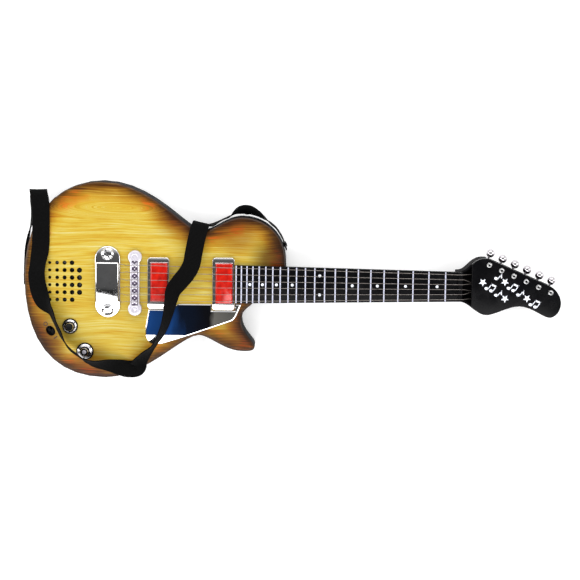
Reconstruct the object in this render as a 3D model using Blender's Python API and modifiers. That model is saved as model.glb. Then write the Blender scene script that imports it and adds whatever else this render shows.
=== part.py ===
"""Toy electric guitar lying on its back: body at -X, headstock at +X, front face up (+Z).

Lengths are in millimetres and become metres through MM. The origin is the point of the flat
back right under the middle of the bridge.
"""

import math

import bmesh
import bpy
from mathutils import Matrix, Vector

MM = 0.001
GAP = 0.3

# Heights above the flat back.
BODY_TOP = 40.0
SPLIT_Z = 30.0
NECK_TOP = 43.0
BOARD_TOP = 47.0
HEAD_FLOOR = 27.0
HEAD_RIM = 41.7
HEAD_TOP = 46.5

WALL = 2.2
BACK_PLATE = 2.4
EDGE_ROUND = 3.0

# Strings run along X over these places.
TAIL_X = -19.6
NUT_X = 408.5
NUT_LENGTH = 4.6
COVER_X = 423.0
STRING_COUNT = 6
STRING_R = 0.5
SADDLE_PITCH = 9.3
NUT_PITCH = 6.2
SADDLE_STRING_Z = 52.0
NUT_STRING_Z = 49.5
COVER_STRING_Z = 41.0
COVER_STRING_Y = (15.4, 5.6, 3.4, -5.2, -7.4, -15.4)

# Frets: each semitone is the twelfth root of two closer than the last.
FRET_COUNT = 22
FIRST_FRET_X = 390.0
FRET_SCALE = 374.0
FRET_WIDTH = 2.2
FRET_HEIGHT = 0.8
BOARD_START = 126.3
BOARD_END = 411.3
BOARD_HALF_START = 24.2
BOARD_HALF_END = 18.8
HEEL_X = 190.2
NECK_END = 412.0
NECK_SQUASH = 0.87
NECK_SIDES = 28

SMOOTH, CORNER = "AUTO", "VECTOR"
OUTLINE_STEPS = 5

# An outline's node is (x, y, CORNER) or (x, y, heading in degrees, reach back, reach ahead): the
# reaches are the lengths of its curve handles. Nodes sit where the edge turns or runs straight.
BODY_OUTLINE = (
    (190, 21, CORNER),
    (189, 36, 97, 4, 25),
    (134, 84, 180, 31, 20),
    (83, 65.5, 180, 15, 19),
    (-43, 127, 180, 64, 58),
    (-140, 6, 270, 72, 78),
    (-38, -121.5, 0, 70, 50),
    (80, -66, 0, 20, 14),
    (136, -86, 0, 24, 10),
    (151, -79.5, 90, 6, 6),
    (134, -46, 90, 16, 14),
    (150, -22.5, CORNER),
    (190, -21.5, CORNER),
)

HEAD_OUTLINE = (
    (405, 19, CORNER),
    (413, 20.5, 25, 4, 7),
    (438, 36, 0, 12, 6),
    (449, 33.5, -23.5, 5, 20),
    (522, 2, -23.5, 20, 6),
    (536, -20, 270, 11, 10),
    (522, -38, 180, 7, 8),
    (484, -24, 180, 15, 15),
    (442, -35.5, 180, 11, 10),
    (413, -20, 165, 8, 4),
    (405, -19, CORNER),
)

# Hardware on the front.
BRIDGE_END_Y = 32.6
BRIDGE_END_R = 8.6
BRIDGE_BAR_HALF = 5.7
TAILPIECE_X = -34.6
TAILPIECE_Y = 1.0
TAILPIECE_R = 16.0
TAILPIECE_LENGTH = 90.0
TAILPIECE_BLOCK_HALF = 25.0
TAILPIECE_SCREW_R = 7.8
TAILPIECE_SCREW_DY = 35.5
PICKUPS = {"bridge": (29.6, 13.7, 32.7), "neck": (111.2, 13.9, 33.3)}
LENS_SHIFT = 1.0
LENS_HALF_X = 10.3
LENS_LOW_Y = {"bridge": -22.4, "neck": -24.0}
LENS_HIGH_Y = 25.7
LENS_TOP = 48.6
FRAME_TOP = 46.6

# The pickguard stops clear of both pickup frames.
GUARD_GAP = 1.0
GUARD_TOP_Y = -33.5
NOTCH_LOW_X = PICKUPS["neck"][0] - PICKUPS["neck"][1] - GUARD_GAP
NOTCH_HIGH_X = PICKUPS["neck"][0] + PICKUPS["neck"][1] + GUARD_GAP
NOTCH_Y = -PICKUPS["neck"][2] - GUARD_GAP
GUARD_OUTLINE = (
    (17, GUARD_TOP_Y, CORNER),
    (13, -62, 270, 9, 9),
    (25, -77.5, 0, 8, 8),
    (42, -74.5, 17, 6, 20),
    (121, -47.5, 20, 20, 7),
    (134, -26, CORNER),
    (NOTCH_HIGH_X, -26, CORNER),
    (NOTCH_HIGH_X, NOTCH_Y, CORNER),
    (NOTCH_LOW_X, NOTCH_Y, CORNER),
    (NOTCH_LOW_X, -26, CORNER),
    (54.5, -26, CORNER),
    (45, GUARD_TOP_Y, CORNER),
)

KNOBS = {"volume": (-82.1, -56.0, 9.8), "tone": (-63.5, -87.9, 11.0)}
POT_SHAFT_R = 2.7
POT_TOP = 46.6

SWITCH_AT = (-107.0, -62.3)
SWITCH_ANGLE = math.radians(-54.0)
SWITCH_TRAVEL = 4.0

# Speaker grille: columns of holes that grow towards the middle of the body.
GRILLE_COUNT = 6
GRILLE_START = (-117.0, 24.3)
GRILLE_PITCH = 9.36
GRILLE_R = 1.7
GRILLE_GROWTH = 0.31
SPEAKER_AT = (-93.6, 0.8)
SPEAKER_R = 29.0

# Tuners: posts in a line beside the straight edge of the headstock.
TUNER_COUNT = 6
FIRST_POST = Vector((444.5, 27.9))
POST_STEP = Vector((15.6, -6.78))
WORM_OFFSET = 3.2
WORM_Z = 34.0
POST_TO_BUTTON = 14.0
BUTTON_R = 5.5
WORM_R = 1.35
GEAR_R = 1.6
POST_SHAFT_R = 1.3

# Battery bay, opened from the back.
BAY_LOW = (36.2, -6.2)
BAY_HIGH = (108.4, 46.2)
BAY_ROOF = 19.4
BAY_WALL = 1.6
DOOR_LOW = (39.4, -5.0)
DOOR_HIGH = (108.0, 45.0)
DOOR_THICK = 2.1
DOOR_SCREW = (103.2, 20.0)
CELL_R = 7.1
CELL_LENGTH = 49.5
CELL_X = 46.6
CELL_YS = (4.6, 20.0, 35.4)
CELL_Z = 10.4
CONTACT_BASE = 5.0  # clear of the door's tabs as it swings

BOARD_LOW = (-44.0, -72.0)
BOARD_HIGH = (24.0, -28.0)
BOARD_Z = 24.0
CASE_SCREWS = ((-96.0, 72.0), (36.0, 74.0), (-20.0, -98.0), (122.0, -66.0))
NECK_SCREW = (168.0, 0.0)
SCREW_HEAD_R = 3.5
SCREW_SHANK_R = 1.5
SCREW_PILOT_R = 1.9
BOSS_R = 4.2
POST_R = 5.6
SCREW_RECESS_TOP = 3.4
DOOR_BOSS_R = 3.4
DOOR_TAB_Y = 14.0
DOOR_CLEARANCE = 0.4
NECK_TONGUE = ((152.0, -17.0, 13.0), (191.6, 17.0, 34.0))

JACK_X = -36.0
JACK_Z = 17.0
JACK_WALL_Y = -121.5

BUTTON_Z = 16.0
STRAP_BUTTONS = {"tail": (-140.0, 6.0, 180.0), "horn": (186.0, 48.0, 20.5)}

# The strap: centre of the webbing and the direction of its width, from the tail button over
# the body to the horn button.
STRAP_WIDTH = 22.0
STRAP_THICK = 1.4
STRAP_STEPS = 2
EYELET_R = 2.3
STRAP_ROUTE = (
    ((-142, -5, 16), (0, 0, 1)),
    ((-142, 6, 16), (0, 0, 1)),
    ((-141.5, 22, 16), (0, 0, 1)),
    ((-140, 42, 17), (0, 0, 1)),
    ((-136.5, 62, 18.5), (0.1, 0, 1)),
    ((-131, 82, 22), (0.4, -0.1, 0.9)),
    ((-126, 99, 26.5), (0.8, -0.1, 0.5)),
    ((-123, 110.5, 31), (1, 0, 0.2)),
    ((-122, 115.5, 36.5), (1, 0, 0)),
    ((-120.5, 111.5, 41.5), (1, 0, 0)),
    ((-118.5, 102, 42), (1, 0, 0)),
    ((-118, 86, 41.5), (1, 0, 0)),
    ((-118, 64, 41.5), (1, 0, 0)),
    ((-119, 42, 41.5), (1, 0, 0)),
    ((-122, 22, 44.5), (0.9, 0, 0.3)),
    ((-123.5, 8, 44.5), (0.9, 0, 0.2)),
    ((-121.5, -8, 43), (1, 0.1, 0.1)),
    ((-117.5, -20, 44), (0.9, 0.3, 0.2)),
    ((-111.5, -29, 47.5), (0.7, 0.3, 0.6)),
    ((-104.5, -37.5, 50), (0.4, 0.2, 0.9)),
    ((-100, -48.5, 52.5), (0.3, 0.1, 0.9)),
    ((-93, -63, 54), (0.3, 0.1, 0.9)),
    ((-87, -74, 56), (0.2, 0.1, 1)),
    ((-80, -82.5, 59), (0.1, 0.1, 1)),
    ((-71.5, -89, 61), (0.1, 0.1, 1)),
    ((-62, -95.5, 60.5), (0, 0.3, 1)),
    ((-53, -99.5, 57), (0, 0.4, 0.9)),
    ((-43, -102.5, 52), (0, 0.6, 0.8)),
    ((-30, -104.5, 48), (0, 0.8, 0.6)),
    ((-18, -107.5, 45), (0, 1, 0.3)),
    ((-7.5, -109.5, 43.5), (0, 1, 0.1)),
    ((2, -108, 44), (0, 1, 0.2)),
    ((6.5, -99.5, 48), (-0.4, 0.6, 0.7)),
    ((15, -88.5, 52.5), (-0.4, 0.3, 0.9)),
    ((25, -77.5, 55), (-0.2, 0.1, 1)),
    ((33.5, -64, 57), (-0.3, 0.1, 0.9)),
    ((39.5, -49.5, 59), (-0.4, 0.1, 0.9)),
    ((44, -33, 60.5), (-0.5, 0.1, 0.8)),
    ((47, -18, 61), (-0.7, 0.1, 0.7)),
    ((49.5, -7, 59.5), (-0.8, 0.4, 0.5)),
    ((57, 3, 56.5), (-0.7, 0.6, 0.2)),
    ((65.5, 13.5, 55), (-0.8, 0.6, 0)),
    ((71.5, 25, 54.5), (-0.9, 0.3, 0)),
    ((74, 38, 53), (-1, 0.2, 0)),
    ((76.5, 52, 49.5), (-1, 0.2, 0)),
    ((79, 64, 45), (-1, 0.2, 0)),
    ((81.5, 72.5, 41), (-1, 0.2, 0)),
    ((83, 76, 36), (-1, 0.2, -0.1)),
    ((84.5, 75, 28.5), (-0.9, 0.2, -0.3)),
    ((89, 71.5, 20.5), (-0.7, 0, -0.7)),
    ((98.5, 74, 16), (-0.2, 0, -1)),
    ((109, 79.5, 15.5), (0, 0, -1)),
    ((119, 84, 16), (0, 0, -1)),
    ((127, 89, 17.5), (0.1, -0.3, -0.9)),
    ((135, 92, 19.5), (0.1, -0.6, -0.9)),
    ((143, 92, 20), (0, -0.6, -0.9)),
    ((151, 88.5, 19), (-0.1, -0.4, -0.9)),
    ((159.5, 83, 17.5), (-0.1, -0.2, -1)),
    ((169, 76, 17), (0, 0, -1)),
    ((176.5, 69.5, 16), (0, 0, -1)),
    ((181.5, 62.5, 16), (0, 0, -1)),
    ((185.5, 55, 16), (0, 0, -1)),
    ((188, 48, 16), (0, 0, -1)),
    ((190, 42, 16), (0, 0, -1)),
)

MATERIALS = {
    "film": ((0.78, 0.55, 0.14), 0.3, 0.0),
    "black_shell": ((0.02, 0.018, 0.02), 0.35, 0.0),
    "black_gloss": ((0.012, 0.012, 0.014), 0.22, 0.0),
    "chrome": ((0.8, 0.8, 0.82), 0.08, 1.0),
    "silver_plastic": ((0.78, 0.78, 0.84), 0.25, 0.4),
    "red_lens": ((0.75, 0.03, 0.01), 0.15, 0.0),
    "string_wire": ((0.45, 0.43, 0.4), 0.35, 0.6),
    "webbing": ((0.012, 0.012, 0.013), 0.8, 0.0),
    "steel": ((0.55, 0.55, 0.56), 0.3, 1.0),
    "circuit": ((0.03, 0.2, 0.06), 0.5, 0.0),
    "cell_wrap": ((0.1, 0.25, 0.5), 0.3, 0.2),
    "paper_cone": ((0.05, 0.05, 0.05), 0.9, 0.0),
}


def clear_scene():
    for obj in list(bpy.data.objects):
        bpy.data.objects.remove(obj, do_unlink=True)


def new_collection(name):
    collection = bpy.data.collections.new(name)
    bpy.context.scene.collection.children.link(collection)
    return collection


def make_materials():
    made = {}
    for name, (colour, roughness, metallic) in MATERIALS.items():
        material = bpy.data.materials.new(name)
        material.use_nodes = True
        shader = material.node_tree.nodes["Principled BSDF"]
        shader.inputs["Base Color"].default_value = (*colour, 1.0)
        shader.inputs["Roughness"].default_value = roughness
        shader.inputs["Metallic"].default_value = metallic
        made[name] = material
    return made


clear_scene()
PARTS = new_collection("toy_electric_guitar")
CUTTERS = new_collection("cutters")
MADE = make_materials()


def millimetres(*values):
    return Vector(values) * MM


def add_object(name, data, at=(0.0, 0.0, 0.0)):
    obj = bpy.data.objects.new(name, data)
    obj.location = millimetres(*at)
    PARTS.objects.link(obj)
    return obj


def paint(obj, material):
    obj.data.materials.clear()
    obj.data.materials.append(MADE[material])
    return obj


def as_helper(obj):
    """A cutter, or a shape that is joined to another: it is not a node."""
    for collection in list(obj.users_collection):
        collection.objects.unlink(obj)
    CUTTERS.objects.link(obj)
    obj.hide_render = True
    obj.display_type = "WIRE"
    return obj


def mesh_object(name, build, at=(0.0, 0.0, 0.0)):
    """An object whose mesh is made by build(bm), in metres about its own origin."""
    bm = bmesh.new()
    build(bm)
    mesh = bpy.data.meshes.new(name)
    bm.to_mesh(mesh)
    bm.free()
    return add_object(name, mesh, at)


def add_box(bm, low, high):
    low, high = Vector(low), Vector(high)
    place = Matrix.Translation((low + high) * MM / 2) @ Matrix.Diagonal((*((high - low) * MM), 1.0))
    bmesh.ops.create_cube(bm, size=1.0, matrix=place)


def add_cylinder(bm, radius, low, high, at=(0.0, 0.0), segments=20, turn=None):
    """A cylinder from low to high along Z at (x, y), or along another axis through turn."""
    depth = (high - low) * MM
    centre = Vector((at[0] * MM, at[1] * MM, (low + high) * MM / 2))
    place = (turn or Matrix.Identity(4)) @ Matrix.Translation(centre)
    bmesh.ops.create_cone(
        bm, cap_ends=True, segments=segments, radius1=radius * MM, radius2=radius * MM,
        depth=depth, matrix=place,
    )


def box(name, low, high):
    """A box whose origin is its middle."""
    middle = [(a + b) / 2 for a, b in zip(low, high)]
    half = [(b - a) / 2 for a, b in zip(low, high)]
    return mesh_object(name, lambda bm: add_box(bm, [-h for h in half], half), middle)


def cylinder(name, radius, low, high, at=(0.0, 0.0), segments=20):
    middle = (low + high) / 2
    obj = mesh_object(
        name,
        lambda bm: add_cylinder(bm, radius, low - middle, high - middle, segments=segments),
        (at[0], at[1], middle),
    )
    return smooth(obj)


def smooth(obj, angle=math.radians(35.0)):
    obj.data.shade_smooth()
    obj.data.set_sharp_from_angle(angle=angle)
    return obj


def turned(name, profile, at=(0.0, 0.0, 0.0), steps=24):
    """A solid of revolution about Z. The profile is (radius, height), from the top down."""
    mesh = bpy.data.meshes.new(name)
    points = [(r * MM, 0.0, z * MM) for r, z in profile]
    mesh.from_pydata(points, [(i, i + 1) for i in range(len(points) - 1)], [])
    obj = add_object(name, mesh, at)
    screw = obj.modifiers.new("Screw", "SCREW")
    screw.axis = "Z"
    screw.steps = steps
    screw.render_steps = steps
    screw.use_merge_vertices = True
    screw.merge_threshold = 0.00001
    screw.use_smooth_shade = True
    return obj


def shape_handles(point, kind):
    """A node's handles: automatic, towards its neighbours, or along a heading with two reaches."""
    if len(kind) < 3:
        handle = kind[0] if kind else SMOOTH
        point.handle_left_type = handle
        point.handle_right_type = handle
        return
    heading, back, ahead = kind
    along = Vector((math.cos(math.radians(heading)), math.sin(math.radians(heading)), 0.0)) * MM
    point.handle_left_type = "FREE"
    point.handle_right_type = "FREE"
    point.handle_left = point.co - along * back
    point.handle_right = point.co + along * ahead


def outline_curve(name, outline, low, high, resolution=4):
    """A flat outline filled on both sides and extruded from height low to high."""
    curve = bpy.data.curves.new(name, "CURVE")
    curve.dimensions = "2D"
    curve.fill_mode = "BOTH"
    curve.extrude = (high - low) * MM / 2
    curve.resolution_u = resolution
    spline = curve.splines.new("BEZIER")
    spline.bezier_points.add(len(outline) - 1)
    spline.use_cyclic_u = True
    for point, (x, y, *kind) in zip(spline.bezier_points, outline):
        point.co = millimetres(x, y, 0.0)
        shape_handles(point, kind)
    return add_object(name, curve, (0.0, 0.0, (low + high) / 2))


def as_mesh(curve_object, drop_face=None):
    """The curve as a mesh with welded caps. drop_face is the side left open: +1 top, -1 bottom."""
    bpy.context.view_layer.update()
    graph = bpy.context.evaluated_depsgraph_get()
    mesh = bpy.data.meshes.new_from_object(curve_object.evaluated_get(graph))
    place = curve_object.matrix_world.copy()
    name = curve_object.name
    bpy.data.objects.remove(curve_object, do_unlink=True)
    bm = bmesh.new()
    bm.from_mesh(mesh)
    bmesh.ops.remove_doubles(bm, verts=bm.verts, dist=0.00001)
    bmesh.ops.dissolve_limit(
        bm, angle_limit=math.radians(1.0), use_dissolve_boundaries=False,
        verts=bm.verts, edges=bm.edges,
    )
    bmesh.ops.recalc_face_normals(bm, faces=bm.faces)
    if drop_face:
        bm.normal_update()
        ends = [face for face in bm.faces if face.normal.z * drop_face > 0.9]
        bmesh.ops.delete(bm, geom=ends, context="FACES_ONLY")
    bm.to_mesh(mesh)
    bm.free()
    obj = add_object(name, mesh)
    obj.matrix_world = place
    return obj


def bevel(obj, width, segments=2, angle=40.0):
    modifier = obj.modifiers.new("Bevel", "BEVEL")
    modifier.width = width * MM
    modifier.segments = segments
    modifier.limit_method = "ANGLE"
    modifier.angle_limit = math.radians(angle)
    modifier.use_clamp_overlap = True
    return obj


def solidify(obj, thickness):
    modifier = obj.modifiers.new("Solidify", "SOLIDIFY")
    modifier.thickness = thickness * MM
    modifier.offset = -1.0
    modifier.use_even_offset = True
    return obj


def boolean(obj, other, operation, overlapping=False):
    """Cuts the helper object other from obj, or joins it to obj.

    overlapping says that the helper's own shapes run into each other.
    """
    as_helper(other)
    modifier = obj.modifiers.new(other.name, "BOOLEAN")
    modifier.operation = operation
    modifier.solver = "EXACT"
    modifier.use_self = overlapping
    modifier.object = other
    return obj


def cut(obj, build, name, overlapping=False):
    return boolean(obj, mesh_object(f"cut_{name}", build), "DIFFERENCE", overlapping)


def join(obj, build, name):
    return boolean(obj, mesh_object(f"join_{name}", build), "UNION")


def string_y(index, pitch):
    return (STRING_COUNT - 1 - 2 * index) / 2 * pitch


def board_half(x):
    """Half the width of the fretboard at x."""
    share = (x - BOARD_START) / (NUT_X - BOARD_START)
    return BOARD_HALF_START + (BOARD_HALF_END - BOARD_HALF_START) * share


def slot_outline(half_length, radius):
    """A straight slot along Y with round ends."""
    dy = half_length - radius
    handle = radius * 0.7071
    return (
        (radius, -dy, CORNER), (radius, dy, CORNER), (handle, dy + handle), (0.0, half_length),
        (-handle, dy + handle), (-radius, dy, CORNER), (-radius, -dy, CORNER),
        (-handle, -dy - handle), (0.0, -half_length), (handle, -dy - handle),
    )


# ---------------------------------------------------------------- body shells


def front_cover():
    """The printed front: a shallow tray, open at the back, with the grille and the cut-outs."""
    cover = as_mesh(
        outline_curve("front_cover", BODY_OUTLINE, SPLIT_Z, BODY_TOP, OUTLINE_STEPS), drop_face=-1
    )
    bevel(cover, EDGE_ROUND, segments=2)
    solidify(cover, WALL)

    def grille(bm):
        ends = (0, GRILLE_COUNT - 1)
        for column in range(GRILLE_COUNT):
            for row in range(GRILLE_COUNT):
                if column in ends and row in ends:
                    continue
                at = (GRILLE_START[0] + GRILLE_PITCH * column, GRILLE_START[1] - GRILLE_PITCH * row)
                radius = GRILLE_R + GRILLE_GROWTH * column
                add_cylinder(bm, radius, 35.0, 45.0, at, segments=8)

    def openings(bm):
        for x, _, _ in PICKUPS.values():
            add_box(bm, (x - 7.0, -21.0, 34.0), (x + 7.0, 21.0, 45.0))
        for x, y, _ in KNOBS.values():
            add_cylinder(bm, 4.2, 34.0, 45.0, (x, y))
        add_box(bm, (180.0, -17.3, SPLIT_Z - 2.0), (195.0, 17.3, NECK_TONGUE[1][2] + GAP))

    def bosses(bm):
        for x, y in CASE_SCREWS:
            add_cylinder(bm, BOSS_R, 9.0, BODY_TOP - WALL + 0.6, (x, y), segments=12)

    def pilot_holes(bm):
        for x, y in CASE_SCREWS:
            add_cylinder(bm, SCREW_PILOT_R, 5.0, 26.0, (x, y), segments=8)

    join(cover, bosses, "cover_bosses")
    cut(cover, pilot_holes, "cover_pilots")
    cut(cover, grille, "grille")
    cut(cover, openings, "cover_openings")
    cut(cover, lambda bm: switch_oval(bm, 5.4, 6.8, 34.0, 45.0), "switch_hole")
    return paint(smooth(cover), "film")


def switch_oval(bm, half_width, half_length, low, high):
    """An oval prism along the switch's direction of travel."""
    place = Matrix.Translation((SWITCH_AT[0] * MM, SWITCH_AT[1] * MM, (low + high) * MM / 2))
    stretch = Matrix.Diagonal((half_length, half_width, 1.0, 1.0))
    bmesh.ops.create_cone(
        bm, cap_ends=True, segments=20, radius1=MM, radius2=MM, depth=(high - low) * MM,
        matrix=place @ Matrix.Rotation(SWITCH_ANGLE, 4, "Z") @ stretch,
    )


def back_shell():
    """The black rim and back: a deep tray with the battery bay, bosses and side holes."""
    shell = as_mesh(
        outline_curve("back_shell", BODY_OUTLINE, 0.0, SPLIT_Z - GAP, OUTLINE_STEPS), drop_face=1
    )
    bevel(shell, EDGE_ROUND, segments=1)
    solidify(shell, BACK_PLATE)

    def bay(bm):
        low = (BAY_LOW[0] - BAY_WALL, BAY_LOW[1] - BAY_WALL, 1.0)
        high = (BAY_HIGH[0] + BAY_WALL, BAY_HIGH[1] + BAY_WALL, BAY_ROOF + BAY_WALL)
        add_box(bm, low, high)

    def bay_hollow(bm):
        add_box(bm, (*BAY_LOW, BACK_PLATE), (*BAY_HIGH, BAY_ROOF))

    def door_opening(bm):
        low = [value - DOOR_CLEARANCE for value in DOOR_LOW]
        high = [value + DOOR_CLEARANCE for value in DOOR_HIGH]
        add_box(bm, (*low, -1.0), (*high, BACK_PLATE + 1.0))

    def posts(bm):
        for x, y in CASE_SCREWS:
            add_cylinder(bm, POST_R, 1.0, 8.6, (x, y), segments=12)
        add_cylinder(bm, POST_R, 1.0, NECK_TONGUE[0][2] - GAP, NECK_SCREW, segments=12)
        for x in (BOARD_LOW[0] + 5.0, BOARD_HIGH[0] - 5.0):
            for y in (BOARD_LOW[1] + 5.0, BOARD_HIGH[1] - 5.0):
                add_cylinder(bm, 2.6, 1.0, BOARD_Z - GAP, (x, y), segments=10)

    def screw_holes(bm):
        for x, y in (*CASE_SCREWS, NECK_SCREW):
            add_cylinder(bm, SCREW_HEAD_R + 0.4, -1.0, SCREW_RECESS_TOP, (x, y), segments=12)
            add_cylinder(bm, SCREW_PILOT_R, -1.0, 15.0, (x, y), segments=8)
        add_cylinder(bm, 1.7, 2.0, 14.0, DOOR_SCREW, segments=12)

    def side_holes(bm):
        add_box(bm, (180.0, -17.3, NECK_TONGUE[0][2] - GAP), (195.0, 17.3, SPLIT_Z + 2.0))
        along_y = Matrix.Rotation(math.radians(90.0), 4, "X")
        add_cylinder(
            bm, 4.2, 110.0, 130.0, (JACK_X, JACK_Z), segments=20, turn=along_y,
        )

    join(shell, bay, "bay")
    join(shell, posts, "posts")
    cut(shell, bay_hollow, "bay_hollow")
    join(
        shell,
        lambda bm: add_cylinder(bm, DOOR_BOSS_R, 3.4, BAY_ROOF + 0.8, DOOR_SCREW, segments=16),
        "door_boss",
    )
    cut(shell, door_opening, "door_opening")
    cut(shell, screw_holes, "screw_holes", overlapping=True)
    cut(shell, side_holes, "side_holes")
    return paint(smooth(shell), "black_shell")


# ---------------------------------------------------------------- batteries


def battery_door():
    """A door flush with the back. Its origin is on the hinge edge."""
    low_x, low_y = DOOR_LOW
    high_x, high_y = DOOR_HIGH
    length, middle = high_x - low_x, (low_y + high_y) / 2
    half = (high_y - low_y) / 2

    def plate(bm):
        add_box(bm, (0.0, -half, 0.0), (length, half, DOOR_THICK))

    def tabs(bm):
        for y in (-DOOR_TAB_Y, DOOR_TAB_Y):
            add_box(bm, (-2.6, y - 4.0, 2.8), (3.0, y + 4.0, 4.2))
            add_box(bm, (0.4, y - 4.0, DOOR_THICK - 0.6), (3.0, y + 4.0, 3.4))

    screw_x, screw_y = DOOR_SCREW[0] - low_x, DOOR_SCREW[1] - middle

    def screw_hole(bm):
        add_cylinder(bm, 3.6, -1.0, 1.3, (screw_x, screw_y), segments=16)
        add_cylinder(bm, 1.7, -1.0, 4.0, (screw_x, screw_y), segments=12)

    door = mesh_object("battery_door", plate, (low_x, middle, 0.0))
    for build, name, operation in ((tabs, "tabs", "UNION"), (screw_hole, "hole", "DIFFERENCE")):
        helper = mesh_object(f"door_{name}", build, (low_x, middle, 0.0))
        boolean(door, helper, operation, overlapping=True)
    return paint(door, "black_shell")


def screw(name, at, head_r, head_low, head_high, shank_r, shank_top):
    """A pan-head screw standing head down."""
    profile = (
        (0.0, shank_top), (shank_r, shank_top - 1.0), (shank_r, head_high), (head_r, head_high),
        (head_r, head_low + 0.4), (head_r - 0.4, head_low), (0.0, head_low),
    )
    obj = turned(name, profile, (at[0], at[1], 0.0), steps=10)
    return paint(obj, "steel")


def batteries():
    for number, y in enumerate(CELL_YS, start=1):
        profile = (
            (0.0, CELL_LENGTH + 1.2), (2.6, CELL_LENGTH + 1.2), (2.6, CELL_LENGTH),
            (CELL_R - 0.6, CELL_LENGTH), (CELL_R, CELL_LENGTH - 0.6), (CELL_R, 0.6),
            (CELL_R - 0.6, 0.0), (0.0, 0.0),
        )
        cell = turned(f"battery_cell_{number}", profile, (CELL_X, y, CELL_Z), steps=14)
        cell.rotation_euler = (0.0, math.radians(90.0), 0.0)
        paint(cell, "cell_wrap")


def contact_plate(name, x, spring_length):
    """A plate across the end of the bay. Cones stand for the springs at the flat cell ends."""
    y0, y1 = CELL_YS[0] - 6.5, CELL_YS[-1] + 6.5
    plate = box(name, (x, y0, CONTACT_BASE), (x + 0.8, y1, 18.4))
    if not spring_length:
        return paint(plate, "steel")

    def springs(bm):
        turn = Matrix.Rotation(math.radians(90.0), 4, "Y")
        for y in CELL_YS:
            depth = spring_length * MM
            centre = Vector((x + 0.4, y, CELL_Z)) * MM + Vector((depth / 2, 0.0, 0.0))
            bmesh.ops.create_cone(
                bm, cap_ends=True, segments=12, radius1=5.0 * MM, radius2=2.6 * MM,
                depth=depth, matrix=Matrix.Translation(centre) @ turn,
            )

    join(plate, springs, name)
    return paint(plate, "steel")


# ---------------------------------------------------------------- neck


def neck_shell():
    """Half-round neck, headstock tray and heel tongue in one moulding."""
    length = NECK_END - HEEL_X

    def half_cone(bm):
        squashed = Matrix.Diagonal((1.0, 1.0, NECK_SQUASH, 1.0))
        along_x = Matrix.Rotation(math.radians(90.0), 4, "Y")
        place = squashed @ along_x @ Matrix.Rotation(math.pi / NECK_SIDES, 4, "Z")
        bmesh.ops.create_cone(
            bm, cap_ends=True, segments=NECK_SIDES, radius1=board_half(HEEL_X) * MM,
            radius2=board_half(NECK_END) * MM, depth=length * MM, matrix=place,
        )
        bmesh.ops.bisect_plane(
            bm, geom=list(bm.verts) + list(bm.edges) + list(bm.faces), plane_co=(0.0, 0.0, MM),
            plane_no=(0.0, 0.0, 1.0), clear_outer=True,
        )

    neck = mesh_object("neck_shell", half_cone, (HEEL_X + length / 2, 0.0, NECK_TOP))
    solidify(neck, WALL)
    cut(neck, lambda bm: add_box(bm, (180.0, -30.0, NECK_TOP), (430.0, 30.0, 60.0)), "neck_rim")
    tray = as_mesh(
        outline_curve("head_tray", HEAD_OUTLINE, HEAD_FLOOR, HEAD_RIM, OUTLINE_STEPS), drop_face=1
    )
    bevel(tray, EDGE_ROUND, segments=1)
    solidify(tray, WALL)
    boolean(neck, tray, "UNION")
    tongue_low, tongue_high = NECK_TONGUE
    join(neck, lambda bm: add_box(bm, tongue_low, tongue_high), "tongue")

    def tongue_hole(bm):
        add_cylinder(bm, SCREW_PILOT_R, 5.0, 28.0, NECK_SCREW, segments=12)

    def shaft_holes(bm):
        for number in range(TUNER_COUNT):
            start, turn = worm_place(number)
            add_cylinder(bm, 1.7, 3.0, 16.0, segments=8, turn=Matrix.Translation(start * MM) @ turn)

    cut(neck, tongue_hole, "tongue_hole")
    cut(neck, shaft_holes, "shaft_holes")
    return paint(smooth(neck), "black_shell")


def fretboard():
    """The tapered board with its fret ridges, and a pad under it where it lies on the body."""

    def taper(bm, start, end, low, high, inset):
        top = board_half(start) - inset, board_half(end) - inset
        add_box(bm, (start, -1.0, low), (end, 1.0, high))
        for vert in bm.verts:
            if abs(abs(vert.co.y) - MM) < 1e-7:
                at_end = vert.co.x > (start + end) * MM / 2
                vert.co.y = math.copysign(top[1] if at_end else top[0], vert.co.y) * MM

    board = mesh_object(
        "fretboard", lambda bm: taper(bm, BOARD_START, BOARD_END, NECK_TOP + GAP, BOARD_TOP, 0.0)
    )
    bevel(board, 0.8, segments=2, angle=60.0)

    def pad(bm):
        add_box(bm, (BOARD_START, -22.0, BODY_TOP + GAP), (HEEL_X - 0.6, 22.0, NECK_TOP + 1.0))

    def frets(bm):
        for number in range(FRET_COUNT):
            x = FIRST_FRET_X - FRET_SCALE * (1.0 - 2.0 ** (-number / 12.0))
            half = board_half(x) - 0.7
            low = (x - FRET_WIDTH / 2, -half, BOARD_TOP - 1.0)
            add_box(bm, low, (x + FRET_WIDTH / 2, half, BOARD_TOP + FRET_HEIGHT))

    join(board, pad, "board_pad")
    join(board, frets, "frets")
    return paint(board, "black_gloss")


def nut():
    half = BOARD_HALF_END - 0.8
    low = (NUT_X - NUT_LENGTH / 2, -half, BOARD_TOP + GAP)
    piece = box("nut", low, (NUT_X + NUT_LENGTH / 2, half, 49.7))

    def notches(bm):
        for index in range(STRING_COUNT):
            y = string_y(index, NUT_PITCH)
            add_box(bm, (NUT_X - 5.0, y - 0.8, 48.6), (NUT_X + 5.0, y + 0.8, 52.0))

    cut(piece, notches, "nut_notches")
    return paint(piece, "black_gloss")


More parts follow.
